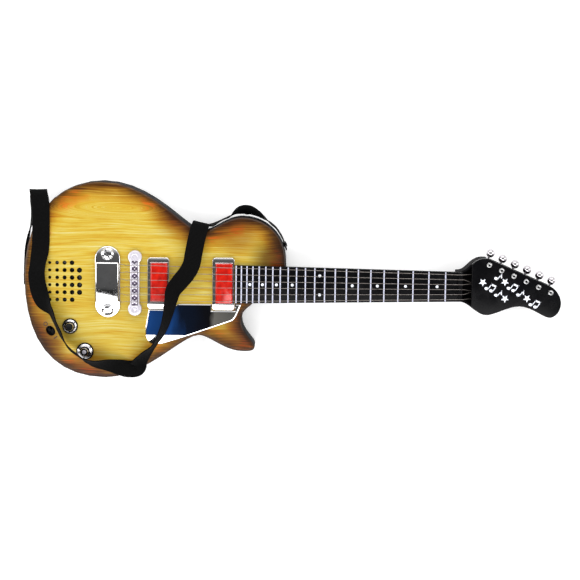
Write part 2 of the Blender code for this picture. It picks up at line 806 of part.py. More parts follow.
def headstock_cover():
    cover = as_mesh(
        outline_curve("headstock_cover", HEAD_OUTLINE, HEAD_RIM + GAP, HEAD_TOP, OUTLINE_STEPS)
    )

    def front_part(bm):
        add_box(bm, (390.0, -60.0, 30.0), (COVER_X, 60.0, 60.0))

    def post_holes(bm):
        for number in range(TUNER_COUNT):
            x, y = post_at(number)
            add_cylinder(bm, 3.5, 38.0, 52.0, (x, y), segments=12)

    cut(cover, front_part, "cover_front")
    bevel(cover, 1.2, segments=1, angle=50.0)
    cut(cover, post_holes, "post_holes")
    return paint(smooth(cover), "black_gloss")


# ---------------------------------------------------------------- tuners


def post_at(number):
    return FIRST_POST + POST_STEP * number


def worm_place(number):
    """Where the button's shaft passes its post, and the turn that lays Z along the shaft."""
    along = POST_STEP.normalized()
    outward = Vector((-along.y, along.x))
    place = post_at(number) - along * WORM_OFFSET
    angle = math.atan2(outward.y, outward.x)
    turn = Matrix.Rotation(angle, 4, "Z") @ Matrix.Rotation(math.radians(90.0), 4, "Y")
    return Vector((place.x, place.y, WORM_Z)), turn


def tuner_button(number):
    """Round button, shaft and worm. Its axis is the shaft."""
    centre = POST_TO_BUTTON
    profile = [(0.0, centre + BUTTON_R)]
    for step in range(1, 6):
        angle = math.radians(step * 26.0)
        profile.append((BUTTON_R * math.sin(angle), centre + BUTTON_R * math.cos(angle)))
    profile += [
        (2.2, centre - 5.0), (1.3, centre - 5.4), (1.2, 3.2), (WORM_R, 3.0), (WORM_R, -3.0), (0.0, -3.2),
    ]
    start, turn = worm_place(number)
    button = turned(f"tuner_button_{number + 1}", profile, start, steps=10)
    button.rotation_euler = turn.to_euler()
    return paint(button, "chrome")


def tuner_post(number):
    """Post with its gear, and the eyelet that shows through the headstock cover."""
    profile = (
        (0.0, 46.2), (1.6, 46.2), (2.0, 47.5), (3.15, 47.2), (3.15, 42.3), (POST_SHAFT_R, 42.3),
        (POST_SHAFT_R, 35.6), (GEAR_R, 35.6), (GEAR_R, 32.4), (POST_SHAFT_R, 32.4),
        (POST_SHAFT_R, 29.5), (0.0, 29.5),
    )
    x, y = post_at(number)
    return paint(turned(f"tuner_post_{number + 1}", profile, (x, y, 0.0), steps=10), "chrome")


# ---------------------------------------------------------------- strings


def guitar_string(index):
    """From the tailpiece over its saddle and the nut, down under the cover to its post."""
    saddle_y = string_y(index, SADDLE_PITCH)
    nut_y = string_y(index, NUT_PITCH)
    cover_y = COVER_STRING_Y[index]
    post = post_at(index)
    towards = (Vector((COVER_X, cover_y)) - post).normalized()
    end = post + towards * (POST_SHAFT_R + GAP + STRING_R)
    route = (
        (TAIL_X, saddle_y, 46.5),
        (-5.0, saddle_y, 51.6),
        (0.0, saddle_y, SADDLE_STRING_Z),
        (5.0, saddle_y, SADDLE_STRING_Z),
        (NUT_X - 2.0, nut_y, NUT_STRING_Z),
        (NUT_X + 2.0, nut_y, NUT_STRING_Z - 0.1),
        (NUT_X + 4.4, nut_y, NUT_STRING_Z - 1.2),
        (COVER_X - 1.0, cover_y, COVER_STRING_Z + 0.2),
        (COVER_X + 2.0, cover_y + 0.3, COVER_STRING_Z - 0.4),
        (end.x, end.y, 39.6),
    )
    curve = bpy.data.curves.new(f"string_{index + 1}", "CURVE")
    curve.dimensions = "3D"
    curve.bevel_depth = STRING_R * MM
    curve.bevel_resolution = 2
    curve.use_fill_caps = True
    spline = curve.splines.new("POLY")
    spline.points.add(len(route) - 1)
    for point, place in zip(spline.points, route):
        point.co = (*(millimetres(*place)), 1.0)
    return paint(add_object(f"string_{index + 1}", curve), "string_wire")


# ---------------------------------------------------------------- hardware on the front


def bridge():
    base = BODY_TOP + GAP
    piece = cylinder("bridge", BRIDGE_END_R, base, 47.4, (0.0, BRIDGE_END_Y), segments=24)
    helpers = (
        ("bridge_foot", lambda bm: add_cylinder(
            bm, BRIDGE_END_R, base, 47.4, (0.0, -BRIDGE_END_Y), segments=24)),
        ("bridge_bar", lambda bm: add_box(
            bm, (-BRIDGE_BAR_HALF, -BRIDGE_END_Y, base), (BRIDGE_BAR_HALF, BRIDGE_END_Y, 47.0))),
        ("saddles", saddles),
    )
    for name, build in helpers:
        join(piece, build, name)
    return paint(piece, "silver_plastic")


def saddles(bm):
    for index in range(STRING_COUNT):
        y = string_y(index, SADDLE_PITCH)
        add_box(bm, (-3.4, y - 2.6, 46.0), (3.4, y + 2.6, SADDLE_STRING_Z - STRING_R - GAP))


def tailpiece():
    piece = as_mesh(
        outline_curve(
            "tailpiece", slot_outline(TAILPIECE_LENGTH / 2, TAILPIECE_R), 0.0, 3.6, resolution=3
        )
    )
    piece.location = millimetres(TAILPIECE_X, TAILPIECE_Y, BODY_TOP + GAP + 1.8)
    bevel(piece, 1.0, segments=2, angle=60.0)

    def block(bm):
        x, y = TAILPIECE_X, TAILPIECE_Y
        low = (x - 14.6, y - TAILPIECE_BLOCK_HALF, 42.0)
        add_box(bm, low, (x + 14.4, y + TAILPIECE_BLOCK_HALF, 50.0))

    raised = mesh_object("tailpiece_block", block)
    bevel(raised, 1.2, segments=2)
    boolean(piece, raised, "UNION")
    return paint(smooth(piece), "chrome")


def tailpiece_screw(name, side):
    """A wide slotted screw head on the tailpiece."""
    base = BODY_TOP + 2 * GAP + 3.6
    profile = (
        (0.0, 3.2), (3.0, 3.1), (5.6, 2.6), (7.2, 1.7), (TAILPIECE_SCREW_R, 0.8),
        (TAILPIECE_SCREW_R, 0.0), (0.0, 0.0),
    )
    at = (TAILPIECE_X, TAILPIECE_Y + side * TAILPIECE_SCREW_DY, base)
    head = turned(name, profile, at, steps=18)
    slot = mesh_object(f"{name}_slot", lambda bm: add_box(bm, (-9.0, -1.1, 1.6), (9.0, 1.1, 5.0)), at)
    slot.rotation_euler = (0.0, 0.0, math.radians(-62.0 if side > 0 else 38.0))
    boolean(head, slot, "DIFFERENCE")
    return paint(head, "chrome")


def rounded_frame(x0, x1, y0, y1, radius):
    """A rectangle with round corners, as an outline."""
    d = radius * 0.2929
    return (
        (x1, y0 + radius, CORNER), (x1, y1 - radius, CORNER), (x1 - d, y1 - d),
        (x1 - radius, y1, CORNER), (x0 + radius, y1, CORNER), (x0 + d, y1 - d),
        (x0, y1 - radius, CORNER), (x0, y0 + radius, CORNER), (x0 + d, y0 + d),
        (x0 + radius, y0, CORNER), (x1 - radius, y0, CORNER), (x1 - d, y0 + d),
    )


def pickup(place, x, half_x, half_y):
    """A chrome frame, a red lens in it, and the light board below the front."""
    base = BODY_TOP + GAP
    outline = rounded_frame(x - half_x, x + half_x, -half_y, half_y, 4.0)
    frame = as_mesh(outline_curve(f"pickup_frame_{place}", outline, base, FRAME_TOP, resolution=2))
    bevel(frame, 0.9, segments=2, angle=60.0)
    left, right = x + LENS_SHIFT - LENS_HALF_X, x + LENS_SHIFT + LENS_HALF_X
    bottom = LENS_LOW_Y[place]

    def window(bm):
        add_box(bm, (left - GAP, bottom - GAP, 30.0), (right + GAP, LENS_HIGH_Y + GAP, 60.0))

    cut(frame, window, f"window_{place}")
    paint(smooth(frame), "chrome")
    lens = box(f"pickup_lens_{place}", (left, bottom, base), (right, LENS_HIGH_Y, LENS_TOP))
    bevel(lens, 1.6, segments=3)
    paint(smooth(lens), "red_lens")
    board = box(f"led_board_{place}", (x - 9.0, -24.0, 33.0), (x + 9.0, 24.0, 34.4))

    def lamps(bm):
        for y in (-12.0, 12.0):
            add_cylinder(bm, 2.5, 34.0, 38.6, (x, y), segments=12)

    join(board, lamps, f"lamps_{place}")
    paint(board, "circuit")


def pickguard():
    guard = as_mesh(
        outline_curve("pickguard", GUARD_OUTLINE, BODY_TOP + GAP, BODY_TOP + 2.1, OUTLINE_STEPS)
    )
    bevel(guard, 0.4, segments=1, angle=60.0)
    return paint(smooth(guard), "chrome")


def knob(name, x, y, radius):
    """A turned knob with a wide skirt, and the potentiometer whose shaft fills its bore."""
    base = BODY_TOP + 0.5
    profile = (
        (0.0, 8.1), (2.2, 8.1), (3.2, 9.0), (4.2, 9.0), (4.7, 8.5), (4.9, 3.6), (5.8, 3.0),
        (radius - 1.5, 2.2), (radius, 1.5), (radius, 0.0), (3.2, 0.0), (3.2, 6.7), (0.0, 6.7),
    )
    paint(turned(f"{name}_knob", profile, (x, y, base), steps=18), "chrome")
    pot_profile = (
        (0.0, POT_TOP), (POT_SHAFT_R, POT_TOP), (POT_SHAFT_R, 40.0), (3.6, 40.0), (3.6, 36.6),
        (8.0, 36.6), (8.0, 29.0), (0.0, 29.0),
    )
    paint(turned(f"{name}_pot", pot_profile, (x, y, 0.0), steps=12), "steel")


def power_switch():
    """The switch's dished face with its slot, and the slider that travels in it."""
    body = mesh_object("power_switch_body", lambda bm: switch_oval(bm, 5.0, 6.4, 33.0, 39.2))
    place = Matrix.Translation((SWITCH_AT[0] * MM, SWITCH_AT[1] * MM, 0.0))
    turn = place @ Matrix.Rotation(SWITCH_ANGLE, 4, "Z")

    def case(bm):
        add_box(bm, (-9.0, -4.4, 30.0), (9.0, 4.4, 36.8))
        bmesh.ops.transform(bm, matrix=turn, verts=bm.verts)

    def slot(bm):
        add_box(bm, (-4.6, -2.2, 35.6), (4.6, 2.2, 45.0))
        bmesh.ops.transform(bm, matrix=turn, verts=bm.verts)

    join(body, case, "switch_case")
    cut(body, slot, "switch_slot")
    paint(body, "black_shell")
    slider = mesh_object(
        "power_switch_slider",
        lambda bm: add_box(bm, (-2.0, -1.8, 36.0), (2.0, 1.8, 41.2)),
        (SWITCH_AT[0], SWITCH_AT[1], 0.0),
    )
    start = Matrix.Rotation(SWITCH_ANGLE, 4, "Z") @ Vector((-SWITCH_TRAVEL / 2, 0.0, 0.0))
    slider.location += start * MM
    slider.rotation_euler = (0.0, 0.0, SWITCH_ANGLE)
    bevel(slider, 0.5, segments=1)
    paint(slider, "black_gloss")


# ---------------------------------------------------------------- electronics


def speaker():
    """Basket with its magnet, and the paper cone in it, firing through the grille."""
    r = SPEAKER_R
    basket = (
        (r - 3.0, 37.3), (r, 37.3), (r, 34.6), (r - 4.0, 34.0), (r - 11.0, 26.0), (15.0, 24.0),
        (15.0, 15.0), (0.0, 15.0), (0.0, 24.8), (13.0, 25.4), (r - 12.4, 27.0), (r - 5.4, 35.0),
        (r - 3.0, 35.6), (r - 3.0, 37.3),
    )
    frame = turned("speaker_frame", basket, (*SPEAKER_AT, 0.0), steps=16)
    paint(frame, "steel")
    cone = (
        (0.0, 29.4), (5.0, 28.6), (7.0, 29.0), (r - 5.4, 36.6), (r - 3.6, 36.9), (r - 3.6, 36.1),
        (r - 5.6, 35.6), (7.0, 28.0), (0.0, 28.0),
    )
    paint(turned("speaker_cone", cone, (*SPEAKER_AT, 0.0), steps=16), "paper_cone")


def circuit_board():
    board = box("circuit_board", (*BOARD_LOW, BOARD_Z), (*BOARD_HIGH, BOARD_Z + 1.6))

    def chips(bm):
        add_box(bm, (-26.0, -58.0, BOARD_Z + 1.0), (-12.0, -46.0, BOARD_Z + 3.6))
        add_cylinder(bm, 4.0, BOARD_Z + 1.0, BOARD_Z + 9.0, (8.0, -42.0), segments=12)
        add_box(bm, (2.0, -66.0, BOARD_Z + 1.0), (14.0, -60.0, BOARD_Z + 6.0))

    join(board, chips, "chips")
    return paint(board, "circuit")


def jack_socket():
    """The microphone socket in the lower side wall."""
    profile = (
        (1.8, 1.6), (5.4, 1.6), (5.8, 1.2), (5.8, GAP), (3.9, GAP), (3.9, -12.0), (0.0, -12.0),
        (0.0, -9.0), (1.8, -9.0), (1.8, 1.6),
    )
    socket = turned("jack_socket", profile, (JACK_X, JACK_WALL_Y, JACK_Z), steps=14)
    socket.rotation_euler = (math.radians(90.0), 0.0, 0.0)
    return paint(socket, "black_gloss")


# ---------------------------------------------------------------- strap


def strap_button(place, x, y, angle):
    """A mushroom peg standing out of the side wall, with its screw shank through the wall."""
    profile = (
        (0.0, 4.6), (2.4, 4.4), (3.5, 4.0), (3.8, 3.5), (3.4, 3.2), (2.0, 3.1), (2.0, 1.0),
        (3.4, 0.8), (3.6, GAP + 0.1), (0.0, GAP + 0.1),
    )
    peg = turned(f"strap_button_{place}", profile, (x, y, BUTTON_Z), steps=14)
    peg.rotation_euler = (0.0, math.radians(90.0), math.radians(angle))
    return paint(peg, "black_gloss")


def catmull_rom(before, start, end, after, share):
    """A point between start and end on the smooth curve through the four."""
    return 0.5 * (
        2 * start
        + (end - before) * share
        + (2 * before - 5 * start + 4 * end - after) * share**2
        + (3 * start - before - 3 * end + after) * share**3
    )


def smooth_route(route, steps):
    """The route's centres and width directions, with steps stretches between stations."""
    values = [(Vector(centre), Vector(width).normalized()) for centre, width in route]
    last = len(values) - 1
    made = []
    for i in range(last):
        around = [values[min(max(j, 0), last)] for j in (i - 1, i, i + 1, i + 2)]
        for step in range(steps):
            share = step / steps
            made.append(tuple(catmull_rom(*(v[k] for v in around), share) for k in (0, 1)))
    made.append(values[-1])
    return made


def strap():
    """A closed ribbon swept along the route."""
    stations = smooth_route(STRAP_ROUTE, STRAP_STEPS)
    centres = [centre for centre, _ in stations]

    def ribbon(bm):
        rings = []
        for i, (centre, width) in enumerate(stations):
            tangent = centres[min(i + 1, len(centres) - 1)] - centres[max(i - 1, 0)]
            tangent.normalize()
            across = (width - tangent * width.dot(tangent)).normalized()
            normal = tangent.cross(across)
            corners = ((1, 1), (-1, 1), (-1, -1), (1, -1))
            ring = [
                bm.verts.new((
                    centre + across * (a * STRAP_WIDTH / 2) + normal * (b * STRAP_THICK / 2)
                ) * MM)
                for a, b in corners
            ]
            rings.append(ring)
        for first, second in zip(rings, rings[1:]):
            for a in range(4):
                b = (a + 1) % 4
                bm.faces.new((first[a], second[a], second[b], first[b]))
        bm.faces.new(rings[0])
        bm.faces.new(reversed(rings[-1]))
        bmesh.ops.recalc_face_normals(bm, faces=bm.faces)

    def eyelets(bm):
        for x, y, angle in STRAP_BUTTONS.values():
            turn = Matrix.Translation(millimetres(x, y, BUTTON_Z)) @ Matrix.Rotation(
                math.radians(angle), 4, "Z") @ Matrix.Rotation(math.radians(90.0), 4, "Y")
            add_cylinder(bm, EYELET_R, 0.2, 9.0, segments=14, turn=turn)

    band = mesh_object("strap", ribbon)
    cut(band, eyelets, "eyelets")
    return paint(smooth(band), "webbing")


def build_guitar():
    front_cover()
    back_shell()
    battery_door()
    screw("battery_door_screw", DOOR_SCREW, 3.3, 0.1, 1.0, 1.4, 12.0)
    batteries()
    contact_plate("battery_spring_plate", 42.6, 3.0)
    contact_plate("battery_contact_plate", 98.0, 0.0)
    for number, at in enumerate(CASE_SCREWS, start=1):
        screw(f"case_screw_{number}", at, SCREW_HEAD_R, 0.6, 3.0, SCREW_SHANK_R, 22.0)
    neck_shell()
    fretboard()
    nut()
    headstock_cover()
    screw("neck_screw", NECK_SCREW, SCREW_HEAD_R, 0.6, 3.0, SCREW_SHANK_R, 26.0)
    for number in range(TUNER_COUNT):
        tuner_button(number)
        tuner_post(number)
    for index in range(STRING_COUNT):
        guitar_string(index)
    bridge()
    tailpiece()
    tailpiece_screw("tailpiece_screw_upper", 1)
    tailpiece_screw("tailpiece_screw_lower", -1)
    for place, (x, half_x, half_y) in PICKUPS.items():
        pickup(place, x, half_x, half_y)
    pickguard()
    for name, (x, y, radius) in KNOBS.items():
        knob(name, x, y, radius)
    power_switch()
    speaker()
    circuit_board()
    jack_socket()
    for place, (x, y, angle) in STRAP_BUTTONS.items():
        strap_button(place, x, y, angle)
    strap()


build_guitar()
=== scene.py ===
"""The looks of the toy electric guitar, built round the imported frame.

Lengths are in millimetres and become metres through MM. X runs along the strings to the
headstock, Y towards the upper horn and Z out of the front. Every mesh is made in place.
"""

import math

import bmesh
import bpy
import numpy as np
from mathutils import Matrix, Vector


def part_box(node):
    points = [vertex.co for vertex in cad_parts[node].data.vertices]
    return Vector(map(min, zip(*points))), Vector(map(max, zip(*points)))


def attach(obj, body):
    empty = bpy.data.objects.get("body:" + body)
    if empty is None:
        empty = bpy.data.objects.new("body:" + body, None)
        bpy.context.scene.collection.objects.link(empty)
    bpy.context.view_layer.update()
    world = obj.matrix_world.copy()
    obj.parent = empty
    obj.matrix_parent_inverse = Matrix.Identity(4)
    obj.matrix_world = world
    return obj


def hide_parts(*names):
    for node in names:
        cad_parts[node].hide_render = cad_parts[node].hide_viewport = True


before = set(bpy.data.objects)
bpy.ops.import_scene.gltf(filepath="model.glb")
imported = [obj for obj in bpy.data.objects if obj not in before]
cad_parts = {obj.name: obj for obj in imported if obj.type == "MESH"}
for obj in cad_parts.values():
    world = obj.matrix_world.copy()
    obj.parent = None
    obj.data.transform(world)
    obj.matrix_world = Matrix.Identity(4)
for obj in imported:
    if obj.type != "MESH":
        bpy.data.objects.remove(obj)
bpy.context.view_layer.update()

MM = 0.001
GAP = 0.3
BODY = "guitar_body"
SMOOTH, CORNER = "AUTO", "VECTOR"


def low(node):
    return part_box(node)[0] / MM


def high(node):
    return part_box(node)[1] / MM


def middle(node):
    return (low(node) + high(node)) / 2


# ---- driving sizes

BODY_TOP = high("front_cover").z
SPLIT_Z = low("front_cover").z
HEAD_FLOOR = low("neck_shell").z
EDGE_ROUND = 3
WALL = 2.2
BACK_PLATE = 2.4

NUT = middle("nut")
BOARD_LOW, BOARD_HIGH = low("fretboard"), high("fretboard")
FRET_HEIGHT = 0.8
BOARD_TOP = BOARD_HIGH.z - FRET_HEIGHT
NECK_TOP = BOARD_TOP - 4
HEEL_X = 190.2
NECK_END = 412
NECK_SQUASH = 0.87
BOARD_HALF_START = BOARD_HIGH.y
BOARD_HALF_END = 18.8
NECK_TONGUE = ((152, -17, 13), (191.6, 17, 34))

FRET_COUNT = 22
FIRST_FRET_X = 390
FRET_SCALE = 374

STRING_COUNT = 6
STRING_R = 0.34
SADDLE_PITCH = 9.3
NUT_PITCH = 6.2
SADDLE_STRING_Z = 52
NUT_STRING_Z = 49.5
COVER_X = low("headstock_cover").x
COVER_STRING_Z = 41
COVER_STRING_Y = (15.4, 5.6, 3.4, -5.2, -7.4, -15.4)

TUNER_COUNT = 6
FIRST_POST = Vector((444.5, 27.9))
POST_STEP = Vector((15.6, -6.78))
WORM_OFFSET = 3.2
WORM_Z = 34
POST_TO_BUTTON = 14
HEAD_WALL = 6.3
SHAFT_HOLE_R = 1.7
POST_HOLE_R = 3.5
HEAD_RIM = 41.7
HEAD_COVER_LOW = 42
SIGN_PITCH, SIGN_SIZE = 11.6, 12.4

GRILLE_COUNT = 6
GRILLE_START = (-117, 24.3)
GRILLE_PITCH = 9.36
GRILLE_R = 1.7
GRILLE_GROWTH = 0.31

SWITCH = Vector((-107, -62.3, 0))
SWITCH_ANGLE = -54
SWITCH_TRAVEL = 4
KNOB_HOLE_R = 4.2

CASE_SCREWS = ((-96, 72), (36, 74), (-20, -98), (122, -66))
NECK_SCREW = (168, 0)
WELL_R, SHANK_R = 3.9, 1.9
DOOR_SCREW = (103.2, 20)
BAY_LOW, BAY_HIGH = (36.2, -6.2), (108.4, 46.2)
BAY_ROOF = 19.4
DOOR_LOW, DOOR_HIGH = low("battery_door"), high("battery_door")
JACK = Vector((-36, -121.5, 17))
JACK_HOLE_R = 4.2
BUTTON_Z = 16
STRAP_BUTTONS = {"tail": (-140, 6, 180), "horn": (186, 48, 20.5)}
SLOT_LOW_X, SLOT_HIGH_X, SLOT_HALF = 180, 195, 17.3
BOSS_R, BOSS_TOP = 5.6, 8.6
SCREW_HOLE_R = 1.7
WELL_TOP = 3.4

OUTLINE_STEPS = 10
# An outline's node is (x, y, CORNER) or (x, y, heading in degrees, reach back, reach ahead): the
# reaches are the lengths of its curve handles. Nodes sit where the edge turns or runs straight.
BODY_OUTLINE = (
    (190, 21, CORNER),
    (189, 36, 97, 4, 25),
    (134, 84, 180, 31, 20),
    (83, 65.5, 180, 15, 19),
    (-43, 127, 180, 64, 58),
    (-140, 6, 270, 72, 78),
    (-38, -121.5, 0, 70, 50),
    (80, -66, 0, 20, 14),
    (136, -86, 0, 24, 10),
    (151, -79.5, 90, 6, 6),
    (134, -46, 90, 16, 14),
    (150, -22.5, CORNER),
    (190, -21.5, CORNER),
)

HEAD_OUTLINE = (
    (405, 19, CORNER),
    (413, 20.5, 25, 4, 7),
    (438, 36, 0, 12, 6),
    (449, 33.5, -23.5, 5, 20),
    (522, 2, -23.5, 20, 6),
    (536, -20, 270, 11, 10),
    (522, -38, 180, 7, 8),
    (484, -24, 180, 15, 15),
    (442, -35.5, 180, 11, 10),
    (413, -20, 165, 8, 4),
    (405, -19, CORNER),
)

# The pickguard stops clear of both pickup frames.
GUARD_GAP = 1
GUARD_TOP_Y = -33.5
NOTCH_LOW_X = low("pickup_frame_neck").x - GUARD_GAP
NOTCH_HIGH_X = high("pickup_frame_neck").x + GUARD_GAP
NOTCH_Y = low("pickup_frame_neck").y - GUARD_GAP
GUARD_OUTLINE = (
    (17, GUARD_TOP_Y, CORNER),
    (13, -62, 270, 9, 9),
    (25, -77.5, 0, 8, 8),
    (42, -74.5, 17, 6, 20),
    (121, -47.5, 20, 20, 7),
    (134, -26, CORNER),
    (NOTCH_HIGH_X, -26, CORNER),
    (NOTCH_HIGH_X, NOTCH_Y, CORNER),
    (NOTCH_LOW_X, NOTCH_Y, CORNER),
    (NOTCH_LOW_X, -26, CORNER),
    (54.5, -26, CORNER),
    (45, GUARD_TOP_Y, CORNER),
)

# The strap: centre of the webbing and the direction of its width, tail button to horn button.
STRAP_WIDTH = 22
STRAP_THICK = 1.3
EYELET_R = 2.3
RIB_PITCH = 1.6
RIB_HEIGHT = 0.13
STRAP_ROUTE = (
    ((-142, -5, 16), (0, 0, 1)),
    ((-142, 6, 16), (0, 0, 1)),
    ((-141.5, 22, 16), (0, 0, 1)),
    ((-140, 42, 17), (0, 0, 1)),
    ((-136.5, 62, 18.5), (0.1, 0, 1)),
    ((-131, 82, 22), (0.4, -0.1, 0.9)),
    ((-126, 99, 26.5), (0.8, -0.1, 0.5)),
    ((-123, 110.5, 31), (1, 0, 0.2)),
    ((-122, 115.5, 36.5), (1, 0, 0)),
    ((-120.5, 111.5, 41.5), (1, 0, 0)),
    ((-118.5, 102, 42), (1, 0, 0)),
    ((-118, 86, 41.5), (1, 0, 0)),
    ((-118, 64, 41.5), (1, 0, 0)),
    ((-119, 42, 41.5), (1, 0, 0)),
    ((-122, 22, 44.5), (0.9, 0, 0.3)),
    ((-123.5, 8, 44.5), (0.9, 0, 0.2)),
    ((-121.5, -8, 43), (1, 0.1, 0.1)),
    ((-117.5, -20, 44), (0.9, 0.3, 0.2)),
    ((-111.5, -29, 47.5), (0.7, 0.3, 0.6)),
    ((-104.5, -37.5, 50), (0.4, 0.2, 0.9)),
    ((-100, -48.5, 52.5), (0.3, 0.1, 0.9)),
    ((-93, -63, 54), (0.3, 0.1, 0.9)),
    ((-87, -74, 56), (0.2, 0.1, 1)),
    ((-80, -82.5, 59), (0.1, 0.1, 1)),
    ((-71.5, -89, 61), (0.1, 0.1, 1)),
    ((-62, -95.5, 60.5), (0, 0.3, 1)),
    ((-53, -99.5, 57), (0, 0.4, 0.9)),
    ((-43, -102.5, 52), (0, 0.6, 0.8)),
    ((-30, -104.5, 48), (0, 0.8, 0.6)),
    ((-18, -107.5, 45), (0, 1, 0.3)),
    ((-7.5, -109.5, 43.5), (0, 1, 0.1)),
    ((2, -108, 44), (0, 1, 0.2)),
    ((6.5, -99.5, 48), (-0.4, 0.6, 0.7)),
    ((15, -88.5, 52.5), (-0.4, 0.3, 0.9)),
    ((25, -77.5, 55), (-0.2, 0.1, 1)),
    ((33.5, -64, 57), (-0.3, 0.1, 0.9)),
    ((39.5, -49.5, 59), (-0.4, 0.1, 0.9)),
    ((44, -33, 60.5), (-0.5, 0.1, 0.8)),
    ((47, -18, 61), (-0.7, 0.1, 0.7)),
    ((49.5, -7, 59.5), (-0.8, 0.4, 0.5)),
    ((57, 3, 56.5), (-0.7, 0.6, 0.2)),
    ((65.5, 13.5, 55), (-0.8, 0.6, 0)),
    ((71.5, 25, 54.5), (-0.9, 0.3, 0)),
    ((74, 38, 53), (-1, 0.2, 0)),
    ((76.5, 52, 49.5), (-1, 0.2, 0)),
    ((79, 64, 45), (-1, 0.2, 0)),
    ((81.5, 72.5, 41), (-1, 0.2, 0)),
    ((83, 76, 36), (-1, 0.2, -0.1)),
    ((84.5, 75, 28.5), (-0.9, 0.2, -0.3)),
    ((89, 71.5, 20.5), (-0.7, 0, -0.7)),
    ((98.5, 74, 16), (-0.2, 0, -1)),
    ((109, 79.5, 15.5), (0, 0, -1)),
    ((119, 84, 16), (0, 0, -1)),
    ((127, 89, 17.5), (0.1, -0.3, -0.9)),
    ((135, 92, 19.5), (0.1, -0.6, -0.9)),
    ((143, 92, 20), (0, -0.6, -0.9)),
    ((151, 88.5, 19), (-0.1, -0.4, -0.9)),
    ((159.5, 83, 17.5), (-0.1, -0.2, -1)),
    ((169, 76, 17), (0, 0, -1)),
    ((176.5, 69.5, 16), (0, 0, -1)),
    ((181.5, 62.5, 16), (0, 0, -1)),
    ((185.5, 55, 16), (0, 0, -1)),
    ((188, 48, 16), (0, 0, -1)),
    ((190, 42, 16), (0, 0, -1)),
)


# ---- materials


def shade(red, green, blue):
    """A display colour from 0 to 255 as linear light."""
    values = [c / 255 for c in (red, green, blue)]
    return tuple(c / 12.92 if c <= 0.04045 else ((c + 0.055) / 1.055) ** 2.4 for c in values)


class Value:
    """A node's output. Arithmetic on it adds a Math node and gives back that node's output."""

    def __init__(self, tree, socket):
        self.tree = tree
        self.socket = socket

    def __add__(self, other):
        return self.tree.math("ADD", self, other)

    def __sub__(self, other):
        return self.tree.math("SUBTRACT", self, other)

    def __mul__(self, other):
        return self.tree.math("MULTIPLY", self, other)


class Tree:
    """A node tree being made. Most methods add one node and give back its output."""

    def __init__(self, tree, coordinates="Object", scale=1 / MM):
        self.tree = tree
        self.place = self.vector("MULTIPLY", self.node("TexCoord", output=coordinates), (scale,) * 3)

    def put(self, target, value):
        if isinstance(value, Value):
            self.tree.links.new(value.socket, target)
        elif target.type == "RGBA":
            target.default_value = (*value, 1)
        else:
            target.default_value = value

    def node(self, kind, *values, output=0, **named):
        """Values fill inputs in order. A capital name is an input, and any other is a setting."""
        node = self.tree.nodes.new("ShaderNode" + kind)
        for name, value in named.items():
            if name[0].isupper():
                self.put(node.inputs[name], value)
            else:
                setattr(node, name, value)
        for target, value in zip(node.inputs, values):
            self.put(target, value)
        return Value(self, node.outputs[output])

    def math(self, operation, *values):
        return self.node("Math", *values, operation=operation)

    def vector(self, operation, a, b):
        output = "Value" if operation == "DISTANCE" else "Vector"
        return self.node("VectorMath", a, b, operation=operation, output=output)

    def span(self, value, start, end, to_start=0, to_end=1, smooth=True):
        kind = "SMOOTHSTEP" if smooth else "LINEAR"
        return self.node("MapRange", value, start, end, to_start, to_end, interpolation_type=kind)

    def noise(self, stretch, detail=3, roughness=0.55, at=None, distortion=0):
        """Noise with one feature about every 1 / stretch millimetres along each axis."""
        stretch = stretch if isinstance(stretch, tuple) else (stretch,) * 3
        place = self.vector("MULTIPLY", at or self.place, stretch)
        return self.node(
            "TexNoise", Vector=place, Scale=1, Detail=detail, Roughness=roughness, Distortion=distortion)

    def wave(self, value, pitch):
        return self.math("SINE", value * (2 * math.pi / pitch))

    def axes(self):
        node = self.tree.nodes.new("ShaderNodeSeparateXYZ")
        self.put(node.inputs[0], self.place)
        return [Value(self, output) for output in node.outputs]

    def join(self, x, y, z=0):
        return self.node("CombineXYZ", x, y, z)

    def ramp(self, value, *stops):
        """stops are (position, colour)."""
        made = self.node("ValToRGB", value)
        elements = made.socket.node.color_ramp.elements
        while len(elements) < len(stops):
            elements.new(1)
        for element, (position, colour) in zip(elements, stops):
            element.position = position
            element.color = (*colour, 1)
        return made

    def mix(self, share, a, b, blend="MIX"):
        made = self.node("Mix", share, data_type="RGBA", blend_type=blend, output=2)
        inputs = made.socket.node.inputs
        self.put(inputs[6], a)
        self.put(inputs[7], b)
        return made

    def attribute(self, name):
        return self.node("Attribute", attribute_name=name, output="Fac")


class Look(Tree):
    """A material being made round one shader."""

    def __init__(self, name, colour=(0.5, 0.5, 0.5), roughness=0.4, **settings):
        self.material = bpy.data.materials.new(name)
        self.material.use_nodes = True
        super().__init__(self.material.node_tree)
        self.shader = self.tree.nodes["Principled BSDF"]
        self.set(Base_Color=colour, Roughness=roughness, **settings)

    def set(self, **values):
        for name, value in values.items():
            self.put(self.shader.inputs[name.replace("_", " ")], value)
        return self

    def colour(self, value):
        return self.set(Base_Color=value)

    def bump(self, height, strength, distance=0.1):
        return self.set(Normal=self.node("Bump", Height=height, Strength=strength, Distance=distance * MM))

    def smudged(self, centre, spread, size=0.05):
        """Roughness that varies a little, as handled plastic does."""
        cloud = self.noise(size, detail=5, roughness=0.65)
        return self.set(Roughness=self.span(cloud, 0.3, 0.7, centre - spread, centre + spread))

    def patchy(self, cloud, start, end, share, colour, other):
        """The colour, turning partly to the other one where the cloud is high."""
        return self.colour(self.mix(self.span(cloud, start, end, 0, share), colour, other))


